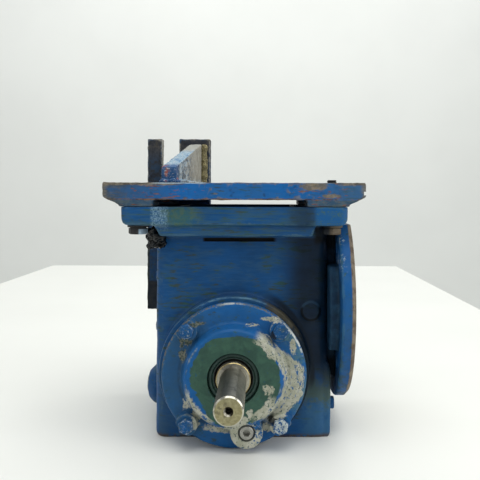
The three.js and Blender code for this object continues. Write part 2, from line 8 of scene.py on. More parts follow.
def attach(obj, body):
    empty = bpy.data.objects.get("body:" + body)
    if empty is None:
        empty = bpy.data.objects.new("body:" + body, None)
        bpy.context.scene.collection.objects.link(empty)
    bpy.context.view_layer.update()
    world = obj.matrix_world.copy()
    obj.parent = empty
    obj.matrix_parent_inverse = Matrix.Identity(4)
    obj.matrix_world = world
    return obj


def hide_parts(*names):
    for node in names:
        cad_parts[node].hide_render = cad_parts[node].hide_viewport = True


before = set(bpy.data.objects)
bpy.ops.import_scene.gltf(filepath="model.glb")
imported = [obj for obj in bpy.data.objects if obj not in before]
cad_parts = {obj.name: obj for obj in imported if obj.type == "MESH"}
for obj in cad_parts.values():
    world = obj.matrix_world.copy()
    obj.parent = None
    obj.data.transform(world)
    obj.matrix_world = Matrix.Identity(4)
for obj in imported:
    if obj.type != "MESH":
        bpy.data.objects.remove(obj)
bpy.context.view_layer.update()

scene = bpy.context.scene
MM = 0.001
WHEEL_Z, WORM_Z = 71.0, 132.0

# ------------------------------------------------------------------ mesh helpers (numbers in mm)


def raw(name, verts, faces):
    me = bpy.data.meshes.new(name)
    me.from_pydata([tuple(c * MM for c in v) for v in verts], [], faces)
    me.validate()
    bm = bmesh.new()
    bm.from_mesh(me)
    bmesh.ops.remove_doubles(bm, verts=bm.verts, dist=1e-7)
    bmesh.ops.recalc_face_normals(bm, faces=bm.faces)
    bm.to_mesh(me)
    bm.free()
    ob = bpy.data.objects.new(name, me)
    scene.collection.objects.link(ob)
    return ob


def place(v, axis, c):
    """(a, b) across and h along the named axis, centred on c, a pair of coordinates."""
    a, b, h = v
    if axis == "x":
        return (h, c[0] + a, c[1] + b)
    if axis == "y":
        return (c[0] + a, h, c[1] + b)
    return (c[0] + a, c[1] + b, h)


def lathe(profile, axis="y", c=(0, 0), seg=96, name="lathe"):
    """profile: (radius, along) points, closed on themselves or starting and ending on the axis."""
    ring = profile[0][0] > 1e-6
    verts, faces = [], []
    n = len(profile)
    idx = []
    for r, h in profile:
        row = []
        if r < 1e-6:
            verts.append(place((0, 0, h), axis, c))
            row = [len(verts) - 1] * seg
        else:
            for k in range(seg):
                t = 2 * math.pi * k / seg
                verts.append(place((r * math.cos(t), r * math.sin(t), h), axis, c))
                row.append(len(verts) - 1)
        idx.append(row)
    last = n if ring else n - 1
    for i in range(last):
        a, b = idx[i], idx[(i + 1) % n]
        for k in range(seg):
            q = [a[k], a[(k + 1) % seg], b[(k + 1) % seg], b[k]]
            q = [q[j] for j in range(4) if q[j] != q[j - 1]]
            if len(set(q)) >= 3:
                faces.append(q)
    return raw(name, verts, faces)


def cyl(r, a, b, axis="y", c=(0, 0), seg=64, chamfer=0.0):
    if chamfer:
        p = [(0, a), (r - chamfer, a), (r, a + chamfer), (r, b - chamfer), (r - chamfer, b), (0, b)]
    else:
        p = [(0, a), (r, a), (r, b), (0, b)]
    return lathe(p, axis, c, seg)


def tube(r0, r1, a, b, axis="y", c=(0, 0), seg=64):
    return lathe([(r0, a), (r1, a), (r1, b), (r0, b)], axis, c, seg)


def prism(outline, a, b, axis="z"):
    """outline in the two coordinates across the axis (x: y,z   y: x,z   z: x,y), pushed along it from a to b."""
    n = len(outline)
    def at(p, h):
        return {"x": (h, p[0], p[1]), "y": (p[0], h, p[1]), "z": (p[0], p[1], h)}[axis]
    verts = [at(p, a) for p in outline] + [at(p, b) for p in outline]
    faces = [list(range(n))[::-1], list(range(n, 2 * n))]
    for i in range(n):
        faces.append([i, (i + 1) % n, n + (i + 1) % n, n + i])
    return raw("prism", verts, faces)


def block(x0, x1, y0, y1, z0, z1):
    return prism([(x0, y0), (x1, y0), (x1, y1), (x0, y1)], z0, z1)


def frustum(a, b):
    v = [(a[i], a[j], a[4]) for i, j in ((0, 2), (1, 2), (1, 3), (0, 3))]
    v += [(b[i], b[j], b[4]) for i, j in ((0, 2), (1, 2), (1, 3), (0, 3))]
    f = [[3, 2, 1, 0], [4, 5, 6, 7]] + [[i, (i + 1) % 4, 4 + (i + 1) % 4, 4 + i] for i in range(4)]
    return raw("frustum", v, f)


def rbox(lo, hi, r, k=6):
    """Box with rounded edges, a radius for each axis."""
    def ticks(a, b, q):
        if q <= 0:
            return [a, b]
        s = [a + q * (1 - math.cos(math.pi / 2 * i / k)) for i in range(k + 1)]
        return s + [a + b - t for t in reversed(s)]
    T = [ticks(lo[i], hi[i], r[i]) for i in range(3)]
    verts, faces = [], []
    inner = [(lo[i] + r[i], hi[i] - r[i]) for i in range(3)]
    def fix(p):
        c = [min(max(p[i], inner[i][0]), inner[i][1]) for i in range(3)]
        d = [(p[i] - c[i]) / r[i] if r[i] > 0 else 0 for i in range(3)]
        m = math.sqrt(sum(t * t for t in d))
        if m < 1e-9:
            return p
        return tuple(c[i] + d[i] / m * r[i] for i in range(3))
    for ax in range(3):
        u, w = [i for i in range(3) if i != ax]
        for side in (lo[ax], hi[ax]):
            base = len(verts)
            for a in T[u]:
                for b in T[w]:
                    p = [0, 0, 0]
                    p[ax], p[u], p[w] = side, a, b
                    verts.append(fix(p))
            nu, nw = len(T[u]), len(T[w])
            for i in range(nu - 1):
                for j in range(nw - 1):
                    faces.append([base + i * nw + j, base + i * nw + j + 1, base + (i + 1) * nw + j + 1, base + (i + 1) * nw + j])
    return raw("rbox", verts, faces)


def join(parts, name):
    """One object that holds every shell of the parts."""
    bm = bmesh.new()
    for p in parts:
        p.data.transform(p.matrix_world)
        bm.from_mesh(p.data)
        me = p.data
        bpy.data.objects.remove(p)
        bpy.data.meshes.remove(me)
    me = bpy.data.meshes.new(name)
    bm.to_mesh(me)
    bm.free()
    ob = bpy.data.objects.new(name, me)
    scene.collection.objects.link(ob)
    return ob


def bake(ob):
    """Applies an object's modifiers to its mesh."""
    bpy.context.view_layer.update()
    dg = bpy.context.evaluated_depsgraph_get()
    me = bpy.data.meshes.new_from_object(ob.evaluated_get(dg))
    old = ob.data
    ob.modifiers.clear()
    ob.data = me
    bpy.data.meshes.remove(old)
    return ob


def remesh(ob, voxel, smooth=3, factor=0.5):
    m = ob.modifiers.new("r", "REMESH")
    m.mode = "VOXEL"
    m.voxel_size = voxel * MM
    m.adaptivity = 0
    if smooth:
        s = ob.modifiers.new("s", "SMOOTH")
        s.factor = factor
        s.iterations = smooth
    return bake(ob)


def cut(ob, *tools, op="DIFFERENCE"):
    for t in tools:
        m = ob.modifiers.new("b", "BOOLEAN")
        m.operation = op
        m.solver = "EXACT"
        m.object = t
        bake(ob)
        me = t.data
        bpy.data.objects.remove(t)
        bpy.data.meshes.remove(me)
    return ob


def bevel(ob, width, seg=2, angle=35):
    m = ob.modifiers.new("v", "BEVEL")
    m.width = width * MM
    m.segments = seg
    m.limit_method = "ANGLE"
    m.angle_limit = math.radians(angle)
    m.harden_normals = False
    return bake(ob)


def coords(me):
    co = np.empty(len(me.vertices) * 3)
    me.vertices.foreach_get("co", co)
    return co.reshape(-1, 3)


def wobble(ob, amount, size, seed=0, where=None):
    """Moves the surface in and out along its normals by smooth noise: cast or hand-cut unevenness, in mm."""
    me = ob.data
    co = coords(me)
    no = np.empty(len(me.vertices) * 3)
    me.vertex_normals.foreach_get("vector", no)
    no = no.reshape(-1, 3)
    off = Vector((seed * 7.3, seed * 3.1, seed * 1.7))
    k = 1000.0 / size
    d = np.array([noise.fractal(Vector(p) * k + off, 1.0, 2.0, 3) for p in co])
    if where is not None:
        d = d * where(co / MM)
    co = co + no * (d * amount * MM)[:, None]
    me.vertices.foreach_set("co", co.ravel())
    me.update()
    return ob


def wear(ob, iters=10):
    """Stores how far each point stands out of its smoothed surroundings, in mm: plus on edges, minus in corners."""
    me = ob.data
    n = len(me.vertices)
    co = coords(me) / MM
    e = np.empty(len(me.edges) * 2, np.int64)
    me.edges.foreach_get("vertices", e)
    e = e.reshape(-1, 2)
    no = np.empty(n * 3)
    me.vertex_normals.foreach_get("vector", no)
    no = no.reshape(-1, 3)
    deg = np.bincount(e.ravel(), minlength=n).astype(float)
    deg[deg == 0] = 1
    s = co.copy()
    for _ in range(iters):
        acc = np.zeros_like(s)
        for k in range(3):
            acc[:, k] = np.bincount(e[:, 0], weights=s[e[:, 1], k], minlength=n) + np.bincount(e[:, 1], weights=s[e[:, 0], k], minlength=n)
        s = 0.5 * s + 0.5 * acc / deg[:, None]
    d = ((co - s) * no).sum(1)
    att = me.attributes.get("curv") or me.attributes.new("curv", "FLOAT", "POINT")
    att.data.foreach_set("value", d.astype(np.float32))
    return ob


def shade(ob, angle=32):
    me = ob.data
    me.polygons.foreach_set("use_smooth", [True] * len(me.polygons))
    me.set_sharp_from_angle(angle=math.radians(angle))
    me.update()
    return ob


def dress(ob, name, mat, body, slot, *nodes, angle=32, curv=10):
    """Names a finished piece, gives it its material, lets it ride and hides the CAD nodes it stands for."""
    ob.name = name
    ob.data.name = name
    ob.data.materials.clear()
    for m in mat if isinstance(mat, (list, tuple)) else [mat]:
        ob.data.materials.append(m)
    shade(ob, angle)
    if curv:
        wear(ob, curv)
    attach(ob, body)
    if nodes:
        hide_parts(*nodes)
    return ob


def arc(cx, cy, r, a0, a1, n):
    return [(cx + r * math.cos(math.radians(a0 + (a1 - a0) * i / n)), cy + r * math.sin(math.radians(a0 + (a1 - a0) * i / n))) for i in range(n + 1)]


# ------------------------------------------------------------------ shader helpers


class V:
    """A shader value with ordinary arithmetic."""

    def __init__(self, tree, socket):
        self.t, self.s = tree, socket

    def _m(self, op, *args, clamp=False):
        n = self.t.nodes.new("ShaderNodeMath")
        n.operation = op
        n.use_clamp = clamp
        for i, a in enumerate((self,) + args):
            if isinstance(a, V):
                self.t.links.new(a.s, n.inputs[i])
            else:
                n.inputs[i].default_value = a
        return V(self.t, n.outputs[0])

    def __add__(s, o): return s._m("ADD", o)
    def __radd__(s, o): return s._m("ADD", o)
    def __sub__(s, o): return s._m("SUBTRACT", o)
    def __rsub__(s, o): return (s * -1) + o
    def __mul__(s, o): return s._m("MULTIPLY", o)
    def __rmul__(s, o): return s._m("MULTIPLY", o)
    def __truediv__(s, o): return s._m("DIVIDE", o)
    def mn(s, o): return s._m("MINIMUM", o)
    def mx(s, o): return s._m("MAXIMUM", o)
    def abs(s): return s._m("ABSOLUTE")
    def sqrt(s): return s._m("SQRT")
    def pw(s, e): return s._m("POWER", e)
    def sin(s): return s._m("SINE")
    def atan2(s, o): return s._m("ARCTAN2", o)
    def clamp(s): return s._m("ADD", 0.0, clamp=True)

    def step(s, a, b):
        """0 at a, 1 at b, smooth between."""
        n = s.t.nodes.new("ShaderNodeMapRange")
        n.interpolation_type = "SMOOTHSTEP"
        s.t.links.new(s.s, n.inputs["Value"])
        n.inputs["From Min"].default_value = min(a, b)
        n.inputs["From Max"].default_value = max(a, b)
        n.inputs["To Min"].default_value = 0.0 if a < b else 1.0
        n.inputs["To Max"].default_value = 1.0 if a < b else 0.0
        return V(s.t, n.outputs["Result"])


class Mat:
    def __init__(self, name):
        self.m = bpy.data.materials.new(name)
        self.m.use_nodes = True
        self.t = self.m.node_tree
        self.b = self.t.nodes["Principled BSDF"]
        tc = self.t.nodes.new("ShaderNodeTexCoord")
        sc = self.t.nodes.new("ShaderNodeVectorMath")
        sc.operation = "SCALE"
        sc.inputs["Scale"].default_value = 1000.0
        self.t.links.new(tc.outputs["Object"], sc.inputs[0])
        sep = self.t.nodes.new("ShaderNodeSeparateXYZ")
        self.t.links.new(sc.outputs[0], sep.inputs[0])
        self.x, self.y, self.z = (V(self.t, sep.outputs[i]) for i in range(3))
        ge = self.t.nodes.new("ShaderNodeNewGeometry")
        sn = self.t.nodes.new("ShaderNodeSeparateXYZ")
        self.t.links.new(ge.outputs["Normal"], sn.inputs[0])
        self.nx, self.ny, self.nz = (V(self.t, sn.outputs[i]) for i in range(3))
        at = self.t.nodes.new("ShaderNodeAttribute")
        at.attribute_name = "curv"
        self.curv = V(self.t, at.outputs["Fac"])

    def vec(self, x, y, z):
        n = self.t.nodes.new("ShaderNodeCombineXYZ")
        for i, a in enumerate((x, y, z)):
            if isinstance(a, V):
                self.t.links.new(a.s, n.inputs[i])
            else:
                n.inputs[i].default_value = a
        return n.outputs[0]

    def noise(self, size, detail=4.0, rough=0.55, dist=0.0, stretch=(1, 1, 1), shift=0.0):
        """Fractal noise from 0 to 1; size is the feature size in mm, stretch makes it longer along an axis."""
        n = self.t.nodes.new("ShaderNodeTexNoise")
        v = self.vec(self.x * (1.0 / (size * stretch[0])) + shift, self.y * (1.0 / (size * stretch[1])) + shift * 1.7, self.z * (1.0 / (size * stretch[2])) - shift)
        self.t.links.new(v, n.inputs["Vector"])
        n.inputs["Scale"].default_value = 1.0
        n.inputs["Detail"].default_value = detail
        n.inputs["Roughness"].default_value = rough
        n.inputs["Distortion"].default_value = dist
        return V(self.t, n.outputs["Fac"])

    def cells(self, size, shift=0.0, feature="F1"):
        n = self.t.nodes.new("ShaderNodeTexVoronoi")
        n.feature = feature
        v = self.vec(self.x * (1.0 / size) + shift, self.y * (1.0 / size), self.z * (1.0 / size))
        self.t.links.new(v, n.inputs["Vector"])
        n.inputs["Scale"].default_value = 1.0
        return V(self.t, n.outputs["Distance"])

    def mix(self, fac, a, b, mode="MIX"):
        n = self.t.nodes.new("ShaderNodeMix")
        n.data_type = "RGBA"
        n.blend_type = mode
        if isinstance(fac, V):
            self.t.links.new(fac.s, n.inputs[0])
        else:
            n.inputs[0].default_value = fac
        for sock, val in ((n.inputs[6], a), (n.inputs[7], b)):
            if isinstance(val, tuple):
                sock.default_value = (*val, 1)
            else:
                self.t.links.new(val, sock)
        return n.outputs[2]

    def tint(self, v, lo, hi):
        """A colour that goes from lo to hi as v goes from 0 to 1."""
        return self.mix(v.clamp(), lo, hi)

    def out(self, color=None, rough=None, metal=None, bump=None, depth=0.3, spec=0.5, coat=0.0):
        b, t = self.b, self.t
        if isinstance(color, tuple):
            b.inputs["Base Color"].default_value = (*color, 1)
        elif color is not None:
            t.links.new(color, b.inputs["Base Color"])
        for key, val in (("Roughness", rough), ("Metallic", metal)):
            if isinstance(val, V):
                t.links.new(val.clamp().s, b.inputs[key])
            elif val is not None:
                b.inputs[key].default_value = val
        b.inputs["Specular IOR Level"].default_value = spec
        b.inputs["Coat Weight"].default_value = coat
        b.inputs["Coat Roughness"].default_value = 0.2
        if bump is not None:
            n = t.nodes.new("ShaderNodeBump")
            n.inputs["Strength"].default_value = 1.0
            n.inputs["Distance"].default_value = depth * MM
            t.links.new(bump.s, n.inputs["Height"])
            t.links.new(n.outputs["Normal"], b.inputs["Normal"])
        return self.m


BLUE = (0.0060, 0.082, 0.255)
BLUE_D = (0.006, 0.056, 0.160)
GREEN = (0.036, 0.102, 0.080)
OLIVE = (0.045, 0.060, 0.032)
PRIMER = (0.36, 0.39, 0.28)
GREY = (0.30, 0.30, 0.25)
RED = (0.23, 0.035, 0.018)
RUST = (0.095, 0.055, 0.026)
DARKRUST = (0.028, 0.018, 0.012)


def paint(name, streak=(9.0, 9.0, 1.3), streaks=0.5, extra=None, edge=(0.10, 0.26), edge_col=None, cast=1.0, base=BLUE, dark=BLUE_D, grey=(0.028, 0.085, 0.15), dust=0.0, corner_dirt_and_shade=0.8):
    """Old enamel brushed over green over a pale primer, on cast iron or steel plate.
    extra(mat) may return a list of (mask, colour, roughness, thickness) laid on top in order."""
    m = Mat(name)
    n1 = m.noise(1.9, 3, 0.5, 0.4, streak)
    n2 = m.noise(15, 3, 0.55, 0.3, (1.7, 1.7, 0.9), 3.1)
    n3 = m.noise(60, 2, 0.5, 0.0, (1, 1, 1), 9.2)
    big = m.noise(42, 3, 0.55, 0.0, (1, 1, 1), 1.3)
    fine = m.noise(2.6, 3, 0.6, 0.0, streak, 5.0)
    col = m.tint((big * 0.65 + fine * 0.50).step(0.34, 0.84), dark, base)
    # thin worn film, greyer
    thin = (n2 * 0.55 + fine * 0.40 + n3 * 0.15).step(0.50, 0.66)
    col = m.mix(thin * (0.55 * streaks), col, grey)
    # green and olive showing through in short strokes
    strokes = (n1 * 0.60 + n2 * 0.36 + n3 * 0.20).step(0.665 - 0.03 * streaks, 0.735 - 0.03 * streaks)
    under = m.tint(m.noise(12, 3, 0.6, 0, (1, 1, 1), 2.2).step(0.4, 0.6), (0.040, 0.055, 0.030), (0.030, 0.080, 0.062))
    col = m.mix(strokes * (0.50 + 0.35 * streaks), col, under)
    rough = m.noise(25, 3, 0.6) * 0.20 + 0.34 + strokes * 0.2
    height = m.noise(1.5, 4, 0.6) * 0.28 * cast + m.noise(6.0, 3, 0.5, 0, (1, 1, 1), 4.0) * 0.50 * cast + m.noise(0.9, 2, 0.5, 0, streak, 7.0) * 0.30 - strokes * 0.15
    # painted shade with grime: corners and creases (hollow curvature) darkened towards near-black
    grime_and_corner_shade = m.curv.step(-0.04, -0.28) * (m.noise(8, 4, 0.65, 0, (1, 1, 1), 6.6) * 0.9 + 0.35)
    col = m.mix(grime_and_corner_shade.clamp() * corner_dirt_and_shade, col, (0.010, 0.012, 0.013))
    if dust:
        col = m.mix(m.nz.step(0.3, 0.9) * (m.noise(14, 4, 0.65, 0, (1, 1, 1), 16.0) * 0.6 + 0.3) * dust, col, (0.18, 0.18, 0.155))
    # chips along the edges
    chip = m.noise(2.4, 5, 0.7, 0.3, (1, 1, 1), 8.8)
    along = m.noise(19, 3, 0.6, 0.0, (1, 1, 1), 12.5)
    lift = m.curv.mn(edge[1] * 1.3) + (chip - 0.5) * (edge[1] * 1.6) + (along - 0.5) * (edge[1] * 3.0)
    e = lift.step(*edge) * m.curv.step(edge[0] * 0.25, edge[0] * 0.8)
    if edge_col:
        ecol = edge_col(m)
    else:
        ecol = m.tint(m.noise(5, 3, 0.6, 0, (1, 1, 1), 15.0).step(0.42, 0.60), (0.055, 0.085, 0.085), (0.33, 0.36, 0.29))
    col = m.mix(e * 0.6, col, ecol)
    height = height - e * 0.25
    rough = rough + e * 0.15
    if extra:
        for mask, c, r, h in extra(m):
            col = m.mix(mask, col, c)
            if r:
                rough = rough + mask * (r - 0.44)
            if h:
                height = height + mask * h
    return m.out(col, rough, 0.0, height, 0.26, 0.17)


# ------------------------------------------------------------------ materials


def ang_mask(m, a0, a1, soft=8.0, cz=WHEEL_Z):
    """1 between two directions round the output shaft, in degrees."""
    th = (m.z - cz).atan2(m.x) * (180.0 / math.pi)
    return th.step(a0 - soft, a0 + soft) * th.step(a1 + soft, a1 - soft)


def spot(m, n, x, z, rx, rz, soft=0.45, ragged=0.5):
    """A patch round a point of the front, 1 inside, its outline roughened by the noise n."""
    dx, dz = (m.x - x) * (1.0 / rx), (m.z - z) * (1.0 / rz)
    d = (dx * dx + dz * dz).sqrt()
    return (d + (n - 0.5) * ragged * 3.0).step(1.0 + soft * 0.5, 1.0 - soft * 0.5)


def speckled(m, shift=0.0):
    """Pale primer with dark specks of bare iron."""
    n = m.noise(2.6, 5, 0.75, 0.2, (1, 1, 1), 31.0 + shift)
    c = m.tint(m.noise(7, 4, 0.6, 0, (1, 1, 1), 33.0 + shift).step(0.35, 0.65), (0.345, 0.355, 0.270), (0.470, 0.470, 0.390))
    return m.mix(n.step(0.585, 0.66), c, (0.085, 0.095, 0.07))


def housing_extra(m):
    out = []
    x, z = m.x, m.z - WHEEL_Z
    r = (x * x + z * z).sqrt()
    n = m.noise(20, 3, 0.6, 0, (1, 1, 1), 41)
    n2 = m.noise(5, 5, 0.65, 0.3, (1, 1, 1), 42)
    # the foot flange and its band are brushed lengthways, and are greyer
    top = m.z.step(202, 206)
    line = m.noise(1.6, 3, 0.55, 0.2, (22, 22, 0.9), 44)
    out.append((top * line.step(0.46, 0.62) * 0.8, (0.030, 0.090, 0.150), 0, 0))
    out.append((top * (line * 0.6 + n2 * 0.25 + n * 0.25).step(0.60, 0.66) * 0.65, (0.030, 0.075, 0.055), 0, 0))
    # green patch beside the left pad; pale flecks with painted highlight on the slope of the pad; painted shade in the
    # recess by the right pad
    front = m.y.step(-88, -91)
    out.append((spot(m, n2, -52, 223, 15, 11, 1.2, 0.5) * front * 0.72, m.tint(n2.step(0.4, 0.6), (0.070, 0.120, 0.050), (0.038, 0.110, 0.085)), 0, 0))
    flk = m.noise(1.15, 4, 0.75, 0.1, (1, 1, 1.5), 45)
    pale = (m.x.step(-81, -78) * m.x.step(-62, -67) * front * top).mx(m.x.step(105, 108) * front * top)
    out.append((pale * (flk * 0.85 + n2 * 0.15).step(0.44, 0.58) * 0.75, (0.190, 0.310, 0.385), 0, 0))
    # painted shade: dark patch in the recess beside the right pad
    out.append((spot(m, n2, 66, 222, 13, 15, 1.3, 0.35) * front * 0.72, (0.014, 0.032, 0.050), 0.6, 0))
    pad = m.x.step(76, 80) * front * top
    out.append((pad * 0.75, (0.010, 0.092, 0.255), 0, 0))
    out.append((pad * (line * 0.3 + n2 * 0.3 + flk * 0.4).step(0.51, 0.57) * 0.7, (0.060, 0.120, 0.075), 0, 0))
    right = m.x.step(60, 74) * m.y.step(-40, -60)
    out.append((right * m.z.step(78, 58) * (n * 0.8 + n2 * 0.3).step(0.36, 0.60) * 0.85, m.mix((m.z + (n2 - 0.5) * 50).step(26, 42), (0.030, 0.108, 0.215), (0.058, 0.095, 0.075)), 0, 0))
    # painted shadow: the right-hand part of the front, where the motor flange shades it, darkened nearly to black
    face = m.y.step(-40, -60) * m.z.step(204, 200)
    dark = (m.x.step(36, 70) * m.z.step(34, 80) * (n * 0.30 + 0.80)).mx((r - 76).abs().step(9, 3) * m.x.step(22, 50) * m.z.step(40, 62)) * face
    out.append((dark.clamp() * 0.94, (0.004, 0.010, 0.018), 0, 0))
    # painted shade and highlight on the small disc's outline: near-black on its lower half, bluish on its upper half
    dx, dz = m.x - 76, m.z - 128
    disc = ((dx * dx + dz * dz).sqrt() - 9.2).abs().step(1.7, 0.7) * face
    out.append((disc * 0.8, m.mix(dz.step(2, 6), (0.001, 0.002, 0.003), (0.016, 0.045, 0.085)), 0, 0))
    # painted shade: near-black under the foot flange at the right-hand end
    out.append((m.x.step(77, 82) * m.z.step(214.6, 211) * m.z.step(192, 199) * 0.93, (0.003, 0.004, 0.005), 0, 0))
    # painted shade: black in the groove where the front meets the band
    out.append((m.x.step(-34, -31) * m.x.step(43, 38) * m.z.step(197.2, 197.9) * m.z.step(202.0, 201.2) * m.y.step(-58, -61), (0.004, 0.004, 0.004), 0.7, 0))
    out.append((m.y.step(-60, -63) * m.x.step(-48, -76) * m.z.step(110, 50) * (n * 0.7 + n2 * 0.4).step(0.30, 0.62) * 0.5, (0.036, 0.070, 0.090), 0, 0))
    # brown line along the bottom edge
    low = m.z.step(5.5, 1.0) * n2.step(0.36, 0.54)
    out.append((low * 0.85, m.tint(n.step(0.4, 0.6), (0.030, 0.022, 0.014), (0.10, 0.065, 0.035)), 0.8, 0))
    # boss: painted highlight along the upper rounded edge, olive-brown wear at its upper right, painted shade to its
    # right
    ring = m.y.step(-66, -72) * r.step(67, 70) * r.step(78, 76)
    out.append(((r - 73.4).abs().step(1.5, 0.5) * m.y.step(-79, -82) * z.step(60, 71) * (n2 * 0.6 + line * 0.5).step(0.40, 0.64) * 0.75, (0.130, 0.260, 0.340), 0.4, 0))
    out.append((ring * z.step(26, 44) * x.step(22, 36) * (n2 * 0.6 + n * 0.4).step(0.40, 0.54) * 0.9, (0.072, 0.066, 0.042), 0.6, 0))
    # painted shade: near-black on the boss's right-hand side
    out.append((ring * z.step(36, 22) * x.step(30, 50) * 0.8, (0.006, 0.014, 0.022), 0.6, 0))
    return out


def cap_extra(m):
    out = []
    x, z = m.x, m.z - WHEEL_Z
    r = (x * x + z * z).sqrt()
    th = z.atan2(x) * (180.0 / math.pi)
    front = m.y.step(-84, -88)
    n = m.noise(12, 5, 0.6, 0.5, (1, 1, 1), 51)
    n2 = m.noise(4.2, 5, 0.65, 0.3, (1, 1, 1), 52)
    n3 = m.noise(2.0, 3, 0.6, 0.2, (1, 1, 1), 54)
    tn = m.t.nodes.new("ShaderNodeTexNoise")
    m.t.links.new(m.vec(r * 0.42, (r * 0 + th * 0.075).abs(), 3.3), tn.inputs["Vector"])
    tn.inputs["Scale"].default_value = 1.0
    tn.inputs["Detail"].default_value = 4.0
    tn.inputs["Roughness"].default_value = 0.65
    turn = V(m.t, tn.outputs["Fac"])
    wob = (n - 0.5) * 9 + (n2 - 0.5) * 7 + (turn - 0.5) * 9

    def at_angle(a, c):
        """1 between the directions a and c, which may pass 180 degrees."""
        if a <= c:
            return th.step(a - 6, a + 6) * th.step(c + 6, c - 6)
        return (th.step(a - 6, a + 6) + th.step(c + 6, c - 6)).clamp()

    # worn greyer blue on the left and right of the rim
    left = at_angle(118, -120) * r.step(45, 52)
    out.append((left * (n2 * 0.9 + 0.25).clamp() * 0.75, (0.026, 0.075, 0.122), 0, 0))
    right = at_angle(-30, 48) * r.step(56, 62)
    out.append((right * n2.step(0.40, 0.58) * 0.9, (0.060, 0.145, 0.200), 0, 0))
    # green disc round the seal
    edge = r + (n - 0.5) * 10 + (n2 - 0.5) * 5 + (z - 38).mx(0) * 1.6 + at_angle(-165, -125) * 3.5 + x.step(-12, -38) * 3.4
    green = edge.step(45.0, 43.8) * front
    gcol = m.tint(n.step(0.35, 0.7), (0.030, 0.072, 0.056), (0.046, 0.112, 0.078))
    gcol = m.mix((n2 * 0.6 + n3 * 0.4).step(0.58, 0.66) * 0.7, gcol, (0.014, 0.080, 0.150))
    out.append((green, gcol, 0, -0.15))
    # a bright blue stroke between the two pale arcs
    out.append((((r - 48.5).abs() + wob * 0.6).step(3.1, 1.3) * at_angle(-44, -6), (0.012, 0.085, 0.235), 0, 0))
    # olive and tan by the upper left bolt
    olive = spot(m, n2, -46, WHEEL_Z + 34, 6, 4.5, 0.4, 1.1).mx(spot(m, n2, -49, WHEEL_Z + 21, 3.4, 7, 0.4, 1.1)).mx(spot(m, n2, -37, WHEEL_Z + 50, 8, 1.8, 0.4, 1.2))
    out.append((olive * front * 0.9, m.tint(n3.step(0.40, 0.62), (0.040, 0.060, 0.040), (0.205, 0.205, 0.150)), 0.6, 0))
    # pale primer: one long arc down the right side, short hook inside it, streaks at the lower left
    r0 = th.step(36, 2) * 13.0 - th.step(-12, -52) * 8.5 + 44.5
    hw = th.step(30, -2) * 5.2 - th.step(-22, -50) * 3.4 + 5.0
    pale = ((r - r0).abs() - hw + wob).step(0.9, -0.9) * at_angle(-54, 60)
    pale = pale.mx(((r - 40.6).abs() + wob * 0.35).step(4.4, 3.2) * at_angle(-62, -25))
    pale = pale.mx(((r - 45.0).abs() + wob * 0.75).step(3.5, 1.7) * at_angle(-164, -117))
    for px, pz, rx, rz, rag in ((36, 54.5, 9, 2.3, 0.8), (17, 49, 5.5, 1.3, 1.3), (-45, -27, 4, 5.5, 1.2), (-36, -40, 4, 8, 0.9), (-7, -49.5, 19, 5.2, 0.7), (33, -9, 5, 4.4, 0.9), (15.5, -31, 2.9, 3.8, 0.8), (57, 29, 3, 8, 0.9), (33, -49, 7, 4, 0.9)):
        pale = pale.mx(spot(m, n2, px, WHEEL_Z + pz, rx, rz, 0.35, rag))
    pale = pale * front * (turn * 0.55 + n2 * 0.45).step(0.385, 0.455)
    lug = spot(m, n2, 12.6, 20.6, 15.9, 15.9, 0.2, 0.20) * m.y.step(-99, -101)
    pale = pale.mx(lug * ((n2 * 0.7 + n3 * 0.5) + (m.x - 12.6) * 0.012 + (m.z - 20.6) * 0.006).step(0.76, 0.66))
    out.append((pale, m.mix((n2 * 0.5 + n3 * 0.5).step(0.555, 0.60) * 0.85, speckled(m), (0.040, 0.075, 0.080)), 0.64, -0.25))
    # painted shade: dark pockets beside the two right-hand bolts and a dark ring round the plug in the lug
    px, pz = m.x - 12.6, m.z - 20.6
    pocket_shade = spot(m, n2, 38.2, WHEEL_Z + 40.5, 3.4, 4.6, 0.5, 0.7).mx(spot(m, n2, 37.5, WHEEL_Z - 40.5, 4.6, 3.6, 0.5, 0.7))
    pocket_shade = pocket_shade.mx((px * px + pz * pz).sqrt().step(8.7, 8.0)) * front
    out.append((pocket_shade * 0.88, (0.008, 0.010, 0.011), 0.6, 0))
    # worn outer edge of the rim, tan on top; pale worn paint with painted highlight on the top and the upper right
    rim = (r + (n2 - 0.5) * 2.6).step(68.0, 69.0) * m.y.step(-92, -94)
    out.append((rim * at_angle(50, 172) * n3.step(0.45, 0.56) * 0.8, (0.150, 0.130, 0.085), 0, -0.2))
    out.append((rim * at_angle(84, 100) * n2.step(0.36, 0.48) * 0.9, (0.42, 0.46, 0.44), 0, -0.2))
    out.append((rim * at_angle(18, 50) * n2.step(0.40, 0.50), (0.50, 0.53, 0.50), 0, -0.2))
    # painted shade with grime in the groove between the hub and the rim, away from the top
    g = (r - 52.8).abs().step(2.6, 0.6) * n.step(0.42, 0.62) * z.step(30, 5) * front
    out.append((g * 0.40, (0.014, 0.024, 0.026), 0, 0))
    return out


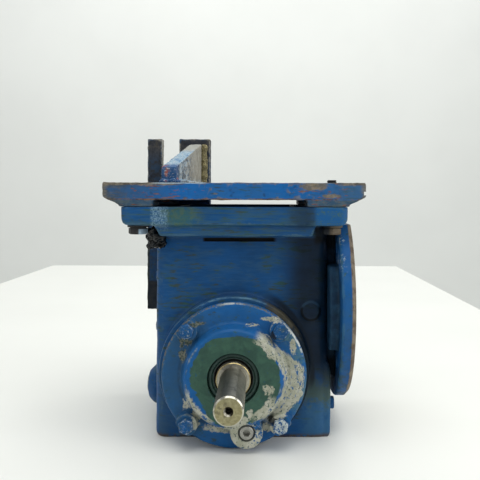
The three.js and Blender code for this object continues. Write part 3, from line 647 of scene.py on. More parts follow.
def plate_extra(m):
    out = []
    n = m.noise(11, 5, 0.65, 0.2, (2.2, 2.2, 0.9), 61)
    n2 = m.noise(2.6, 4, 0.6, 0.2, (4.0, 4.0, 0.55), 62)
    n3 = m.noise(5, 5, 0.7, 0.3, (1.6, 1.6, 0.8), 63)
    # greyer, thinner paint towards the left end and the underside
    out.append((m.x.step(-40, -112) * (0.35 + n * 0.7).clamp(), (0.034, 0.072, 0.125), 0.55, 0.0))
    out.append((m.x.step(66, 112) * (0.25 + n * 0.7).clamp(), (0.045, 0.105, 0.175), 0.55, 0.0))
    low = m.z.step(239.9, 239.2)
    out.append((low * 0.75, m.tint(n3.step(0.4, 0.62), (0.030, 0.060, 0.085), (0.075, 0.100, 0.095)), 0.6, 0.0))
    # red primer in thin streaks, thick round the right pad and the left half
    where = (m.x.step(-120, -96) * m.x.step(-10, -40) + m.x.step(52, 72) * m.x.step(118, 100) * 1.25 + 0.10).clamp()
    red = (n2 * 0.58 + n3 * 0.32 + n * 0.16 + where * 0.085).step(0.668, 0.705)
    out.append((red * 0.85, m.tint(n3.step(0.42, 0.60), (0.105, 0.028, 0.022), (0.190, 0.085, 0.045)), 0.65, -0.15))
    # tan patch beside the right bolt and a brown line along the lower edge
    out.append((spot(m, n3, 77, 252.6, 12, 4.0, 0.4, 0.9).mx(spot(m, n3, 93, 243.6, 8, 1.9, 0.4, 0.9)) * m.y.step(-97, -99) * 0.85, m.tint(n3.step(0.4, 0.6), (0.13, 0.11, 0.07), (0.24, 0.19, 0.12)), 0.65, -0.1))
    line = m.z.step(241.6, 240.4) * m.z.step(239.4, 239.9) * n.step(0.40, 0.52)
    out.append((line * 0.9, m.tint(n3.step(0.4, 0.6), (0.050, 0.025, 0.014), (0.17, 0.095, 0.045)), 0.7, -0.1))
    # worn top edge, long on the left and at the right corner
    left = (m.x + (n3 - 0.5) * 26).step(-98, -116) * (n * 0.5 + n2 * 0.5).step(0.42, 0.54)
    out.append((left * 0.65, m.tint(n3.step(0.4, 0.62), (0.050, 0.058, 0.060), (0.115, 0.108, 0.085)), 0.6, -0.05))
    edge = (m.z + (n3 - 0.5) * 3.0).step(253.0, 254.4) * m.y.step(-97.5, -99.2) * (m.x.step(-44, -60) + m.x.step(98, 106)).clamp()
    out.append((edge * 0.9, m.tint(n3.step(0.4, 0.62), (0.085, 0.070, 0.050), (0.21, 0.185, 0.14)), 0.65, -0.1))
    ends = m.x.abs().step(119.5, 124.0) * n3.step(0.34, 0.48)
    out.append((ends * 0.85, m.tint(n.step(0.4, 0.6), (0.085, 0.080, 0.065), (0.19, 0.175, 0.14)), 0.62, -0.1))
    seam = m.z.step(254.9, 255.7) * m.y.step(-97.5, -99.0) * m.x.step(-82, -72) * m.x.step(-22, -34) * n3.step(0.40, 0.50)
    out.append((seam * 0.9, (0.34, 0.47, 0.56), 0.5, 0.0))
    # top face: rusty, rubbed and dusty
    top = m.z.step(255.4, 256.0) * m.nz.step(0.5, 0.9)
    t = m.noise(30, 5, 0.65, 0.3, (1, 1, 1), 67)
    out.append((top * (t * 0.8 + n3 * 0.3).step(0.50, 0.64) * 0.85, m.tint(n3.step(0.4, 0.6), (0.060, 0.050, 0.038), (0.16, 0.12, 0.085)), 0.75, -0.1))
    return out


def fork_extra(m):
    out = []
    n = m.noise(9, 5, 0.65, 0.4, (1, 1, 1), 71)
    n2 = m.noise(3.5, 5, 0.65, 0.3, (1, 1, 1), 72)
    n3 = m.noise(1.6, 4, 0.7, 0.3, (1, 1, 1.6), 73)
    up = m.z.step(225, 250)
    out.append((up * 0.93, m.tint((n * 0.6 + n2 * 0.4).step(0.42, 0.62), (0.026, 0.025, 0.023), (0.062, 0.056, 0.044)), 0.62, 0.0))
    out.append((up * m.z.step(306, 280) * (n * 0.6 + n2 * 0.4).step(0.45, 0.55) * 0.8, (0.018, 0.048, 0.095), 0.55, 0.0))
    rim = up * m.curv.step(0.22, 0.50)
    out.append((rim * n2.step(0.36, 0.50) * 0.8, m.tint(n.step(0.4, 0.6), (0.05, 0.10, 0.17), (0.30, 0.28, 0.22)), 0.55, 0.0))
    out.append((m.nz.step(0.5, 0.9) * up * 0.8, m.tint(n2.step(0.4, 0.6), (0.055, 0.040, 0.026), (0.15, 0.12, 0.085)), 0.7, 0.0))
    inner = (m.nx.abs() * 1.0).step(0.6, 0.9) * m.x.step(-116, -114) * m.x.step(-42, -44)
    out.append((inner * up * 0.9, m.tint(n2.step(0.35, 0.65), (0.22, 0.215, 0.19), (0.42, 0.41, 0.37)), 0.5, 0.0))
    # lower end: bare dark steel with a little blue
    mid = m.z.step(212, 200)
    out.append((mid * (m.x.step(-112, -116) * 0.9).mx(n.step(0.44, 0.60) * 0.6).mx(n2.step(0.30, 0.5) * 0.35), m.tint(n2.step(0.4, 0.6), (0.016, 0.020, 0.022), (0.040, 0.046, 0.034)), 0.6, 0.0))
    bare = (m.z + (n2 - 0.5) * 4).step(138, 134)
    out.append((bare * 0.95, m.tint(n.step(0.35, 0.65), (0.012, 0.016, 0.021), (0.029, 0.030, 0.031)), 0.6, 0.0))
    return out


def seam_extra(m):
    """Weld beads on the upright: brown and olive with gold flecks."""
    n2 = m.noise(3.0, 5, 0.65, 0.3, (1, 1, 1), 74)
    n3 = m.noise(1.2, 4, 0.7, 0.3, (1, 1, 1), 75)
    c = m.tint(n2.step(0.38, 0.62), (0.090, 0.075, 0.034), (0.21, 0.185, 0.095))
    c = m.mix(n3.step(0.555, 0.61), c, (0.52, 0.45, 0.21))
    return [(n2.step(0.20, 0.30), c, 0.5, 0.0)]


def gusset_extra(m):
    out = []
    n = m.noise(8, 5, 0.65, 0.4, (1, 2.2, 1), 81)
    n2 = m.noise(2.8, 5, 0.7, 0.3, (1, 1.6, 1), 82)
    brush = m.noise(1.0, 3, 0.6, 0.1, (1, 14, 1), 83)
    # sawn grey-tan sides, bluish flecks towards the nose
    out.append((n.step(0.22, 0.34) * 0.95, m.tint((n2 * 0.5 + n * 0.5).step(0.38, 0.62), (0.27, 0.25, 0.190), (0.42, 0.395, 0.31)), 0.55, -0.05))
    fleck = (m.y.step(55, -65) * 0.145 + n2).step(0.565, 0.61)
    fleck = (fleck * m.y.step(60, 20)).mx(m.z.step(266, 259) * n2.step(0.46, 0.54))
    out.append((fleck * 0.85, m.tint(n.step(0.45, 0.58), (0.020, 0.060, 0.110), (0.40, 0.50, 0.55)), 0.5, 0.0))
    # top: light blue brushed paint, lightened as painted light from above, with orange lines
    top = m.nz.step(0.55, 0.85)
    out.append((top * 0.95, m.tint(brush.step(0.35, 0.65), (0.12, 0.245, 0.36), (0.40, 0.49, 0.53)), 0.5, 0.0))
    out.append((top * (brush * 0.6 + n2 * 0.4).step(0.57, 0.63) * 0.8, (0.28, 0.13, 0.07), 0.6, 0.0))
    out.append((top * n.step(0.53, 0.62) * m.y.step(60, 10) * 0.7, (0.06, 0.16, 0.30), 0.5, 0.0))
    out.append((top * (m.y + (n - 0.5) * 60).step(18, 48) * 0.85, (0.31, 0.30, 0.25), 0.55, 0.0))
    # nose: blue with red primer and white flecks
    nose = m.y.step(-60, -76) * n2.step(0.28, 0.40)
    ncol = m.mix(n.step(0.56, 0.62), (0.014, 0.070, 0.19), (0.24, 0.045, 0.030))
    out.append((nose * 0.9, m.mix(m.noise(2, 3, 0.6, 0.3, (1, 1, 1), 85).step(0.60, 0.66), ncol, (0.50, 0.54, 0.55)), 0.5, 0.1))
    return out


def flange_extra(m):
    out = []
    n = m.noise(9, 5, 0.65, 0.3, (1, 1, 1), 91)
    n2 = m.noise(3, 5, 0.7, 0.3, (1, 1, 1), 92)
    zz = m.z - WORM_Z
    r = (m.y * m.y + zz * zz).sqrt()
    # the neck behind the flange is in the dark, its pockets nearly black
    neck = m.x.step(103.0, 102.6)
    out.append((neck * 0.93, m.tint(n.step(0.35, 0.7), (0.005, 0.020, 0.040), (0.012, 0.048, 0.090)), 0.6, 0.0))
    out.append((neck * zz.abs().step(50, 60) * m.y.abs().step(34, 44) * 0.9, (0.006, 0.007, 0.007), 0.7, 0.0))
    # olive and brown tones low on the back
    olive = m.z.step(120, 70) * n.step(0.46, 0.60) * (1 - neck)
    out.append((olive * 0.6, (0.045, 0.070, 0.050), 0.6, 0.0))
    chips = m.x.step(110, 105.0) * m.x.step(102.8, 103.2) * n2.step(0.53, 0.58) * (m.z.step(166, 172) * m.z.step(190, 182)).mx(m.z.step(194, 198) * m.z.step(206, 201)) * m.y.step(-50, -62)
    out.append((chips, (0.34, 0.42, 0.44), 0.6, -0.1))
    # machined face, register and the worn outer corner
    face = m.x.step(116.0, 116.6).mx(r.step(65.6, 64.8) * m.x.step(103.4, 103.9))
    out.append((face, m.tint(n.step(0.30, 0.75), (0.125, 0.105, 0.078), (0.205, 0.190, 0.158)), 0.5, -0.1))
    corner = (m.x + (n2 - 0.5) * 1.8).step(112.3, 113.0) * r.step(99.0, 100.4)
    out.append((corner * 0.95, m.tint(n.step(0.4, 0.6), (0.105, 0.074, 0.044), (0.215, 0.175, 0.120)), 0.55, -0.1))
    return out


def bolt_extra(m):
    n = m.noise(4, 4, 0.65, 0.3, (1, 1, 1), 95)
    f = m.noise(1.3, 4, 0.7, 0.3, (1, 1, 1), 96)
    white = m.x.step(30, 40) * m.z.step(40, 32)
    return [(n.step(0.50, 0.62) * 0.55, (0.050, 0.085, 0.085), 0.55, 0.0), ((f.step(0.60, 0.66) * 0.8).mx(white * (n * 0.6 + f * 0.4).step(0.44, 0.54)) * m.y.step(-80, -100), (0.42, 0.47, 0.46), 0.5, 0.0)]


P_HOUSING = paint("blue_paint_housing", streak=(7, 7, 1.2), streaks=0.9, extra=housing_extra, edge=(0.30, 0.60), dust=0.10, corner_dirt_and_shade=0.25, edge_col=lambda m: (0.075, 0.150, 0.190))
P_CAP = paint("blue_paint_cap", streak=(3, 3, 1.6), streaks=0.5, extra=cap_extra, edge=(0.22, 0.50), base=(0.008, 0.110, 0.335), dark=(0.007, 0.080, 0.235), corner_dirt_and_shade=0.35)
P_FLANGE = paint("blue_paint_flange", streak=(3, 3, 3), streaks=0.6, extra=flange_extra, base=(0.008, 0.100, 0.310), dark=(0.007, 0.070, 0.210), edge=(0.30, 0.60), edge_col=lambda m: (0.045, 0.140, 0.230))
P_PLATE = paint("plate_paint", streak=(9, 9, 1.1), streaks=0.6, extra=plate_extra, edge=(0.10, 0.26), base=(0.007, 0.122, 0.40), dark=(0.007, 0.098, 0.30), grey=(0.030, 0.105, 0.24), cast=0.5, dust=0.5, edge_col=lambda m: m.tint(m.noise(6, 3, 0.6, 0, (1, 1, 1), 15.0).step(0.40, 0.62), (0.10, 0.085, 0.060), (0.20, 0.18, 0.14)))
P_FORK = paint("fork_paint", streak=(1.5, 1.5, 7), streaks=0.5, extra=fork_extra, cast=0.6, edge=(0.30, 0.60))
P_SEAM = paint("seam_paint", streaks=0.3, extra=seam_extra, cast=0.8)
P_GUSSET = paint("gusset_paint", streak=(2, 7, 1.4), streaks=0.5, extra=gusset_extra, cast=0.7)
P_BOLT = paint("bolt_paint", streak=(2, 2, 2), streaks=0.3, extra=bolt_extra, edge=(0.06, 0.16), base=(0.008, 0.105, 0.32), edge_col=lambda m: (0.45, 0.50, 0.50))
P_SMALL = paint("small_paint", streak=(3, 3, 2), streaks=0.5, edge=(0.06, 0.18))


def steel(name, lo, hi, rough=0.34, axis="y", extra=None, metal=1.0, grime_and_corner_shade=0.3, aniso=0.0):
    """Turned steel: fine rings round its axis, stained."""
    m = Mat(name)
    st = {"y": (40, 0.35, 40), "x": (0.35, 40, 40), "z": (40, 40, 0.35)}[axis]
    rings = m.noise(1.0, 3, 0.6, 0, st, 101)
    stain = m.noise(7, 5, 0.65, 0.4, (1, 1, 1), 102)
    fine = m.noise(1.2, 4, 0.7, 0, (1, 1, 1), 103)
    col = m.tint((rings * 0.5 + stain * 0.6 + fine * 0.2).step(0.42, 0.85), lo, hi)
    col = m.mix(stain.step(0.52, 0.70) * grime_and_corner_shade, col, tuple(a * 0.25 for a in lo))
    rg = rings * 0.14 + stain * 0.20 + (rough - 0.14)
    if extra:
        for mask, cc, r, h in extra(m):
            col = m.mix(mask, col, cc)
            rg = rg * (1 - mask) + mask * r
    if aniso:
        tg = m.t.nodes.new("ShaderNodeTangent")
        tg.direction_type = "RADIAL"
        tg.axis = axis.upper()
        m.t.links.new(tg.outputs[0], m.b.inputs["Tangent"])
        m.b.inputs["Anisotropic"].default_value = aniso
        m.b.inputs["Anisotropic Rotation"].default_value = 0.25
    return m.out(col, rg, metal, rings * 0.5 + fine * 0.35, 0.05, 0.5)


def shaft_extra(m):
    out = []
    r = (m.x * m.x + (m.z - WHEEL_Z) * (m.z - WHEEL_Z)).sqrt()
    n = m.noise(3.5, 5, 0.65, 0.3, (1, 1, 1), 105)
    face = m.y.step(-197.6, -197.9) * r.step(11.6, 11.3)
    out.append((face, m.tint(n.step(0.32, 0.7), (0.26, 0.235, 0.125), (0.42, 0.39, 0.235)), 0.45, 0))
    # painted highlight: bright ring on the chamfer round the end face
    out.append((m.y.step(-197.6, -197.9) * r.step(11.0, 11.6), (0.52, 0.51, 0.43), 0.25, 0))
    # painted light and shade in the centre hole: countersink bright on its lower left, dark on its upper right, the
    # hole near-black
    countersink_light = (m.x + (m.z - WHEEL_Z) * 0.8).step(0.2, -2.4)
    out.append((r.step(4.25, 3.85) * m.y.step(-190, -194), m.mix(countersink_light, (0.030, 0.026, 0.018), (0.56, 0.54, 0.44)), 0.4, 0))
    out.append((r.step(2.9, 2.5) * m.y.step(-190, -194), (0.012, 0.011, 0.010), 0.6, 0))
    out.append((r.step(15.3, 15.8) * m.y.step(-109.6, -110.6) * 0.85, (0.46, 0.36, 0.15), 0.3, 0))
    # painted shade with rubbed streaks on the left side of the shaft
    left_streaks_and_shade = m.noise(6, 4, 0.7, 0.2, (1, 5, 1), 106).step(0.50, 0.64)
    out.append((left_streaks_and_shade * m.x.step(4, -6) * 0.6, (0.11, 0.10, 0.082), 0.5, 0))
    # painted shade with oily stain: the left side of the shaft end darker
    out.append((m.x.step(4, -3) * m.y.step(-197.4, -196.4) * m.y.step(-111, -114) * 0.70, (0.080, 0.080, 0.064), 0.36, 0))
    return out


M_SHAFT = steel("shaft_steel", (0.185, 0.178, 0.142), (0.50, 0.48, 0.40), 0.34, "y", extra=shaft_extra, metal=1.0, aniso=0.8)
M_QUILL = steel("quill_steel", (0.22, 0.21, 0.19), (0.48, 0.46, 0.42), 0.36, "x")
M_BEAR = steel("bearing_steel", (0.34, 0.34, 0.34), (0.62, 0.62, 0.60), 0.25, "y")
M_HUB = steel("hub_iron", (0.07, 0.068, 0.064), (0.16, 0.155, 0.145), 0.55, "y")
M_BRONZE = steel("bronze", (0.30, 0.155, 0.055), (0.52, 0.30, 0.11), 0.34, "y")
# painted highlight with blue-white paint: one lit facet of the front-left foot bolt head
M_DARK = steel("dark_steel", (0.018, 0.018, 0.018), (0.055, 0.053, 0.050), 0.6, "z", metal=0.5, extra=lambda m: [(m.x.step(-94.5, -92.5) * m.x.step(-84, -85) * m.z.step(211.5, 210.5) * m.y.step(-60, -80), (0.34, 0.46, 0.56), 0.4, 0)])
# painted shade: the front-right foot bolt darkened nearly to black on its left below z 240, and all over from z 240 up
M_TAN = steel("rusty_steel", (0.055, 0.042, 0.028), (0.18, 0.145, 0.098), 0.62, "z", metal=0.4, extra=lambda m: [((m.x.step(95, 91) * m.z.step(240, 230)).mx(m.z.step(240, 246) * 0.9), (0.006, 0.009, 0.013), 0.6, 0)])
M_PLUG = steel("plug_steel", (0.26, 0.26, 0.235), (0.50, 0.50, 0.45), 0.42, "y", metal=0.7)


def rubber():
    m = Mat("seal_rubber")
    r = (m.x * m.x + (m.z - WHEEL_Z) * (m.z - WHEEL_Z)).sqrt()
    front = m.y.step(0, -50)
    n = m.noise(3, 4, 0.65, 0.3, (1, 1, 1), 111)
    base = m.tint(n.step(0.35, 0.7), (0.006, 0.006, 0.006), (0.018, 0.018, 0.017))
    ring = r.step(18.5, 19.1) * front
    col = m.mix(ring, base, m.tint(n.step(0.35, 0.7), (0.014, 0.038, 0.032), (0.034, 0.078, 0.064)))
    # painted shade: near-black ring at the outer edge of the seal's front, where it meets the recess
    col = m.mix(r.step(23.5, 24.0) * front * 0.9, col, (0.004, 0.005, 0.005))
    return m.out(col, n * 0.25 + 0.35, 0.0, n, 0.08, 0.45)


M_RUBBER = rubber()


def gasket():
    m = Mat("gasket_paper")
    n = m.noise(2, 5, 0.7, 0, (1, 1, 1), 121)
    return m.out(m.tint(n.step(0.3, 0.7), (0.010, 0.011, 0.011), (0.040, 0.036, 0.028)), 0.8, 0.0, n, 0.15, 0.3)


M_GASKET = gasket()


def sealant():
    m = Mat("black_sealant")
    n = m.noise(5, 4, 0.6, 0.8, (1, 1, 1), 131)
    f = m.noise(1.5, 3, 0.6, 0.5, (1, 1, 1), 132)
    col = m.tint(n.step(0.35, 0.7), (0.0018, 0.0022, 0.0026), (0.005, 0.007, 0.009))
    return m.out(col, f * 0.10 + 0.05, 0.0, f * 0.3 + n, 0.2, 0.28, 0.0)


M_SEALANT = sealant()

# ------------------------------------------------------------------ pieces

Q = 1.0
QUAD = [(-1, 1), (1, 1), (-1, -1), (1, -1)]
CB = 63.3 * math.sqrt(0.5)
CAP_BOLTS = [(sx * CB, WHEEL_Z + sz * CB) for sx, sz in QUAD]
EB = 37.6 * math.sqrt(0.5)
COVER_BOLTS = [(sy * EB, WORM_Z + sz * EB) for sy, sz in QUAD]
FLANGE_SCREWS = [(-24, 182), (24, 182), (-24, 82), (24, 82)]
FOOT_BOLTS = [(sx * 95.5, -sy * 78.0) for sx, sy in QUAD]


def union(*parts):
    a = parts[0]
    return cut(a, *parts[1:], op="UNION") if len(parts) > 1 else a


def foot_outline():
    fx, fy, mid, r, pad = 109.5, 100.0, 94.5, 8.0, []
    for i, (sx, sy) in enumerate([(1, 1), (-1, 1), (-1, -1), (1, -1)]):
        px, py = sx * fx, sy * fy
        a = [(sx * (fx - 5), sy * 50), (sx * (fx - 4.4), sy * 55), (px, sy * 60)]
        c = [(px - sx * r + sx * r * math.cos(k * math.pi / 16), py - sy * r + sy * r * math.sin(k * math.pi / 16)) for k in range(9)]
        b = [(sx * 78, py), (sx * 74, sy * (fy - 1.2)), (sx * 69, sy * (mid + 0.9)), (sx * 63, sy * mid)]
        seq = a + c + b
        pad += seq[::-1] if i % 2 else seq
    return pad


def make_housing():
    body = rbox((-80.9, -65, -3), (93.6, 65, 222), (12, 12, 7))
    # the lower right of the casting swells a little
    swell = prism([(60, -3)] + arc(88.6, 5, 8, 270, 360, 8) + [(96.6, 66), (93.6, 76), (60, 76)], -62, 62, "y")
    band = frustum((-73, 76, -88, 88, 204), (-80, 80, -90, 90, 218))
    foot = prism(foot_outline(), 215, 234)
    under = arc(-101.5, 223, 8, 180, 270, 8) + arc(101.5, 223, 8, 270, 360, 8)
    cut(foot, prism([(-110.5, 235), (-110.5, 223)] + under + [(110.5, 223), (110.5, 235)], -120, 120, "y"), op="INTERSECT")
    boss = lathe([(0, -60), (74, -60), (74, -83), (73, -85), (0, -85)], "y", (0, WHEEL_Z), 128)
    rear = lathe([(0, 60), (45, 60), (42.4, 70), (41, 71), (0, 71)], "y", (0, WHEEL_Z), 96)
    disc = cyl(9.5, -67, -60, "y", (76, 128), 40)
    side = lathe([(0, -60), (21.5, -60), (21.5, -88.5), (20.5, -90.4), (14.4, -97), (0, -97)], "x", (0, 36), 64)
    ob = join([body, swell, band, foot, boss, rear, disc, side], "housing_cast")
    remesh(ob, 1.6 * Q, 7, 0.5)
    wobble(ob, 0.5, 26, 1)
    wear(ob, 10)
    # machined faces
    cut(ob, block(-150, 150, -150, 150, 233, 260))
    cut(ob, block(-150, 150, -150, 150, -30, 0))
    cut(ob, block(93, 99, -90, 90, 75, 214))
    cut(ob, block(-90, 90, -99, -84, -10, 160))
    cut(ob, block(-31, 38.5, -67, -62.6, 197.7, 201.3))
    # inside
    room = block(-70, 82, -54, 54, 10, 193)
    cut(room, cyl(46, 62, 84, "x", (0, WORM_Z), 48), cyl(41, -71, -57.5, "x", (0, WORM_Z), 48), cyl(41, 30, 56, "y", (0, WHEEL_Z), 48), tube(53, 76, -60, -49, "y", (0, WHEEL_Z), 48))
    holes = [cyl(4.7, -90, -62, "y", c, 24) for c in CAP_BOLTS] + [cyl(3.6, -85, -66.5, "x", c, 20) for c in COVER_BOLTS]
    holes += [cyl(4.7, 78, 96, "x", c, 24) for c in FLANGE_SCREWS] + [cyl(5.8, 200, 240, "z", c, 24) for c in FOOT_BOLTS]
    holes += [cyl(9.3, -99, -60, "x", (0, 36), 32), cyl(6.7, 70, 99, "x", (-46, 30), 24), rbox((-60, -72, 210), (60, 72, 240), (6, 6, 5))]
    union(room, cyl(54.4, -90, -48, "y", (0, WHEEL_Z), 96), cyl(36.3, 59, 96, "x", (0, WORM_Z), 64), cyl(31.3, -92, -56, "x", (0, WORM_Z), 64), cyl(44.4, -92, -76, "x", (0, WORM_Z), 96), cyl(31.3, 29, 52, "y", (0, WHEEL_Z), 64))
    cut(ob, room)
    cut(ob, join(holes, "holes"))
    return dress(ob, "housing_cast", P_HOUSING, "housing", "blue_paint", "housing", "foot_flange", angle=38, curv=0)


def make_cap():
    prof = [(0, -86.4), (70, -86.4), (70, -94.3), (68.3, -96), (52.6, -96), (50.2, -97.2), (47.5, -107.4), (45.2, -110), (0, -110)]
    parts = [lathe(prof, "y", (0, WHEEL_Z), 160)]
    for c in CAP_BOLTS:
        pad = cyl(10.5, -104.6, -95, "y", c, 48)
        parts.append(cut(pad, cyl(70, -120, -80, "y", (0, WHEEL_Z), 128), op="INTERSECT"))
    parts.append(cyl(15.5, -108, -90, "y", (12.6, 20.6), 64))
    ob = remesh(join(parts, "cap_cast"), 0.85 * Q, 5)
    wobble(ob, 0.30, 14, 2)
    wear(ob, 10)
    tools = [block(-90, 90, -86.3, -80, -20, 160)]
    cut(ob, *tools)
    inner = lathe([(0, -130), (24.8, -130), (24.8, -98), (19.5, -98), (19.5, -80), (0, -80)], "y", (0, WHEEL_Z), 128)
    cut(ob, inner)
    small = [cyl(4.7, -120, -80, "y", c, 24) for c in CAP_BOLTS] + [cyl(6.8, -112, -97.6, "y", (12.6, 20.6), 48)]
    cut(ob, join(small, "t"))
    back = lathe([(31.3, -62), (53.7, -62), (53.7, -85.6), (69.8, -85.6), (69.8, -86.6), (19.6, -86.6), (19.6, -86.2), (31.3, -86.2)], "y", (0, WHEEL_Z), 128)
    cut(back, join([cyl(4.7, -120, -80, "y", c, 24) for c in CAP_BOLTS], "t"))
    ob = join([ob, back], "cap_cast")
    return dress(ob, "cap_cast", P_CAP, "housing", "blue_paint", "front_cap", angle=38, curv=0)


def hex_head(af, head, r, length, washer=0.6, soft=0.3, thread=None):
    """Hexagon bolt on z = 0, head up to `head`, shank down to -length."""
    R = af / 2 / math.cos(math.pi / 6)
    hexa = prism([(R * math.cos(math.radians(60 * k + 30)), R * math.sin(math.radians(60 * k + 30))) for k in range(6)], washer, head + 1)
    cone = lathe([(0, -1), (R + 0.5, -1), (R + 0.05, head - (R - af / 2 * 0.93) * 0.55), (af / 2 * 0.93, head), (0, head)], "z", (0, 0), 72)
    cut(hexa, cone, op="INTERSECT")
    w = cyl(af / 2 * 0.95, 0, washer + 0.3, "z", (0, 0), 48)
    sh = cyl(r, -length, 0.4, "z", (0, 0), 32)
    return join([hexa, w, sh], "hex_bolt")


def copy_to(src, mat):
    me = src.data.copy()
    me.transform(mat)
    ob = bpy.data.objects.new(src.name, me)
    scene.collection.objects.link(ob)
    return ob


def at(x, y, z, rx=0.0, ry=0.0, rz=0.0):
    return Matrix.Translation(Vector((x, y, z)) * MM) @ Matrix.Rotation(rx, 4, "X") @ Matrix.Rotation(ry, 4, "Y") @ Matrix.Rotation(rz, 4, "Z")


def drop(ob):
    me = ob.data
    bpy.data.objects.remove(ob)
    bpy.data.meshes.remove(me)


def make_bolts():
    b = hex_head(13, 5.6, 4, 39)
    remesh(b, 0.32 * Q, 3)
    for i, (x, z) in enumerate(CAP_BOLTS):
        ob = copy_to(b, at(x, -104.3, z, math.pi / 2, 0, 0.3 + i * 0.7 + math.pi / 6))
        wobble(ob, 0.22, 3.0, 10 + i)
        dress(ob, f"cap_bolt_{i + 1}_painted", P_BOLT, "housing", "painted_bolt", f"cap_bolt_{i + 1}", angle=50, curv=6)
    drop(b)
    b = hex_head(10, 3.8, 3, 13)
    remesh(b, 0.32 * Q, 3)
    for i, (y, z) in enumerate(COVER_BOLTS):
        ob = copy_to(b, at(-81.6, y, z, 0, -math.pi / 2, 0.2 + i * 0.5 + math.pi / 6))
        wobble(ob, 0.2, 3.0, 20 + i)
        dress(ob, f"end_cover_bolt_{i + 1}_painted", P_BOLT, "housing", "painted_bolt", f"end_cover_bolt_{i + 1}", angle=50, curv=6)
    drop(b)


def threaded(r, pitch, z0, z1, seg=36):
    """A screw thread, one helical ridge, closed at both ends."""
    turns = (z1 - z0) / pitch
    rows = int(turns * 8)
    verts, faces = [], []
    for i in range(rows + 1):
        z = z0 + (z1 - z0) * i / rows
        for k in range(seg):
            a = 2 * math.pi * k / seg
            ph = (z / pitch - k / seg) % 1.0
            rr = r - 0.62 * pitch * abs(2 * ph - 1) ** 1.0
            if z > z1 - 1.2:
                rr = min(rr, r - (z - (z1 - 1.2)) * 0.8)
            verts.append((rr * math.cos(a), rr * math.sin(a), z))
    for i in range(rows):
        for k in range(seg):
            faces.append([i * seg + k, i * seg + (k + 1) % seg, (i + 1) * seg + (k + 1) % seg, (i + 1) * seg + k])
    faces.append(list(range(seg))[::-1])
    faces.append([rows * seg + k for k in range(seg)])
    return raw("thread", verts, faces)


def make_foot_bolts():
    for i, (x, y) in enumerate(FOOT_BOLTS):
        tall = 47 if i == 1 else 43
        R = 17 / 2 / math.cos(math.pi / 6)
        head = hex_head(17, 6.6, 4.4, 4)
        bevel(head, 0.25, 2)
        head.data.transform(at(x, y, 212.4, math.pi, 0, 0.1 + i * 0.4 + math.pi / 6))
        th = threaded(5, 1.5, 212.0, 212.4 + tall)
        th.data.transform(at(x, y, 0))
        ob = join([head, th], "fb")
        dress(ob, f"foot_bolt_{i + 1}_threaded", M_TAN if i == 1 else M_DARK, "housing", "dark_steel", f"foot_bolt_{i + 1}", angle=30, curv=0)
        w = lathe([(5.6, 212.7), (10.2, 212.7), (10.6, 213.0), (10.6, 214.3), (10.2, 214.7), (5.6, 214.7)], "z", (x, y), 64)
        dress(w, f"foot_washer_{i + 1}_turned", M_TAN if i == 1 else M_DARK, "housing", "dark_steel", f"foot_washer_{i + 1}", angle=30, curv=0)


def make_flange_screws():
    for i, (y, z) in enumerate(FLANGE_SCREWS):
        head = lathe([(0, -25), (4, -25), (4, 0), (6.5, 0), (6.5, 7.2), (5.9, 8), (0, 8)], "z", (0, 0), 48)
        key = prism([(3.46 * math.cos(math.radians(60 * k)), 3.46 * math.sin(math.radians(60 * k))) for k in range(6)], 3.6, 9)
        cut(head, key)
        bevel(head, 0.12, 1)
        head.data.transform(at(104.3, y, z, 0, math.pi / 2, 0))
        dress(head, f"flange_screw_{i + 1}_socket", M_DARK, "housing", "dark_steel", f"flange_screw_{i + 1}", angle=30, curv=0)


def make_flange():
    neck = lathe([(0, 93.3), (84, 93.3), (85, 94.3), (85, 106), (0, 106)], "x", (0, WORM_Z), 160)
    for sy, sz in QUAD:
        a, b = sorted((sy * 42, sy * 120))
        c, d = sorted((sz * 42, sz * 120))
        cut(neck, rbox((80, a, WORM_Z + c), (103, b, WORM_Z + d), (0.0, 5, 5)))
    disc = lathe([(0, 103), (102.6, 103), (104, 104.4), (104, 120), (0, 120)], "x", (0, WORM_Z), 224)
    ob = remesh(join([neck, disc], "f"), 1.3 * Q, 6)
    wobble(ob, 0.35, 18, 4)
    wear(ob, 10)
    env = lathe([(0, 93.3), (110, 93.3), (110, 113.0), (104.2, 113.2), (100.6, 116.8), (0, 116.8)], "x", (0, WORM_Z), 224)
    cut(env, block(60, 130, -120, 120, -20, 214.6), op="INTERSECT")
    cut(ob, env, op="INTERSECT")
    spig = tube(30, 35.7, 85.6, 93.6, "x", (0, WORM_Z), 96)
    tool = lathe([(0, 80), (22.5, 80), (22.5, 104), (46, 104), (46, 112.3), (65, 112.3), (65, 118), (0, 118)], "x", (0, WORM_Z), 192)
    cut(ob, tool)
    small = []
    for c in FLANGE_SCREWS:
        small.append(lathe([(0, 85), (4.7, 85), (4.7, 104), (7.4, 104), (7.4, 120), (0, 120)], "x", c, 40))
    bc = 82.5 * math.sqrt(0.5)
    for sy, sz in QUAD:
        small.append(cyl(5.8, 90, 120, "x", (sy * bc, WORM_Z + sz * bc), 40))
    cut(ob, join(small, "t"))
    ob = join([ob, spig], "f")
    return dress(ob, "motor_flange_cast", P_FLANGE, "housing", "blue_paint", "motor_flange", "flange_neck", angle=36, curv=0)


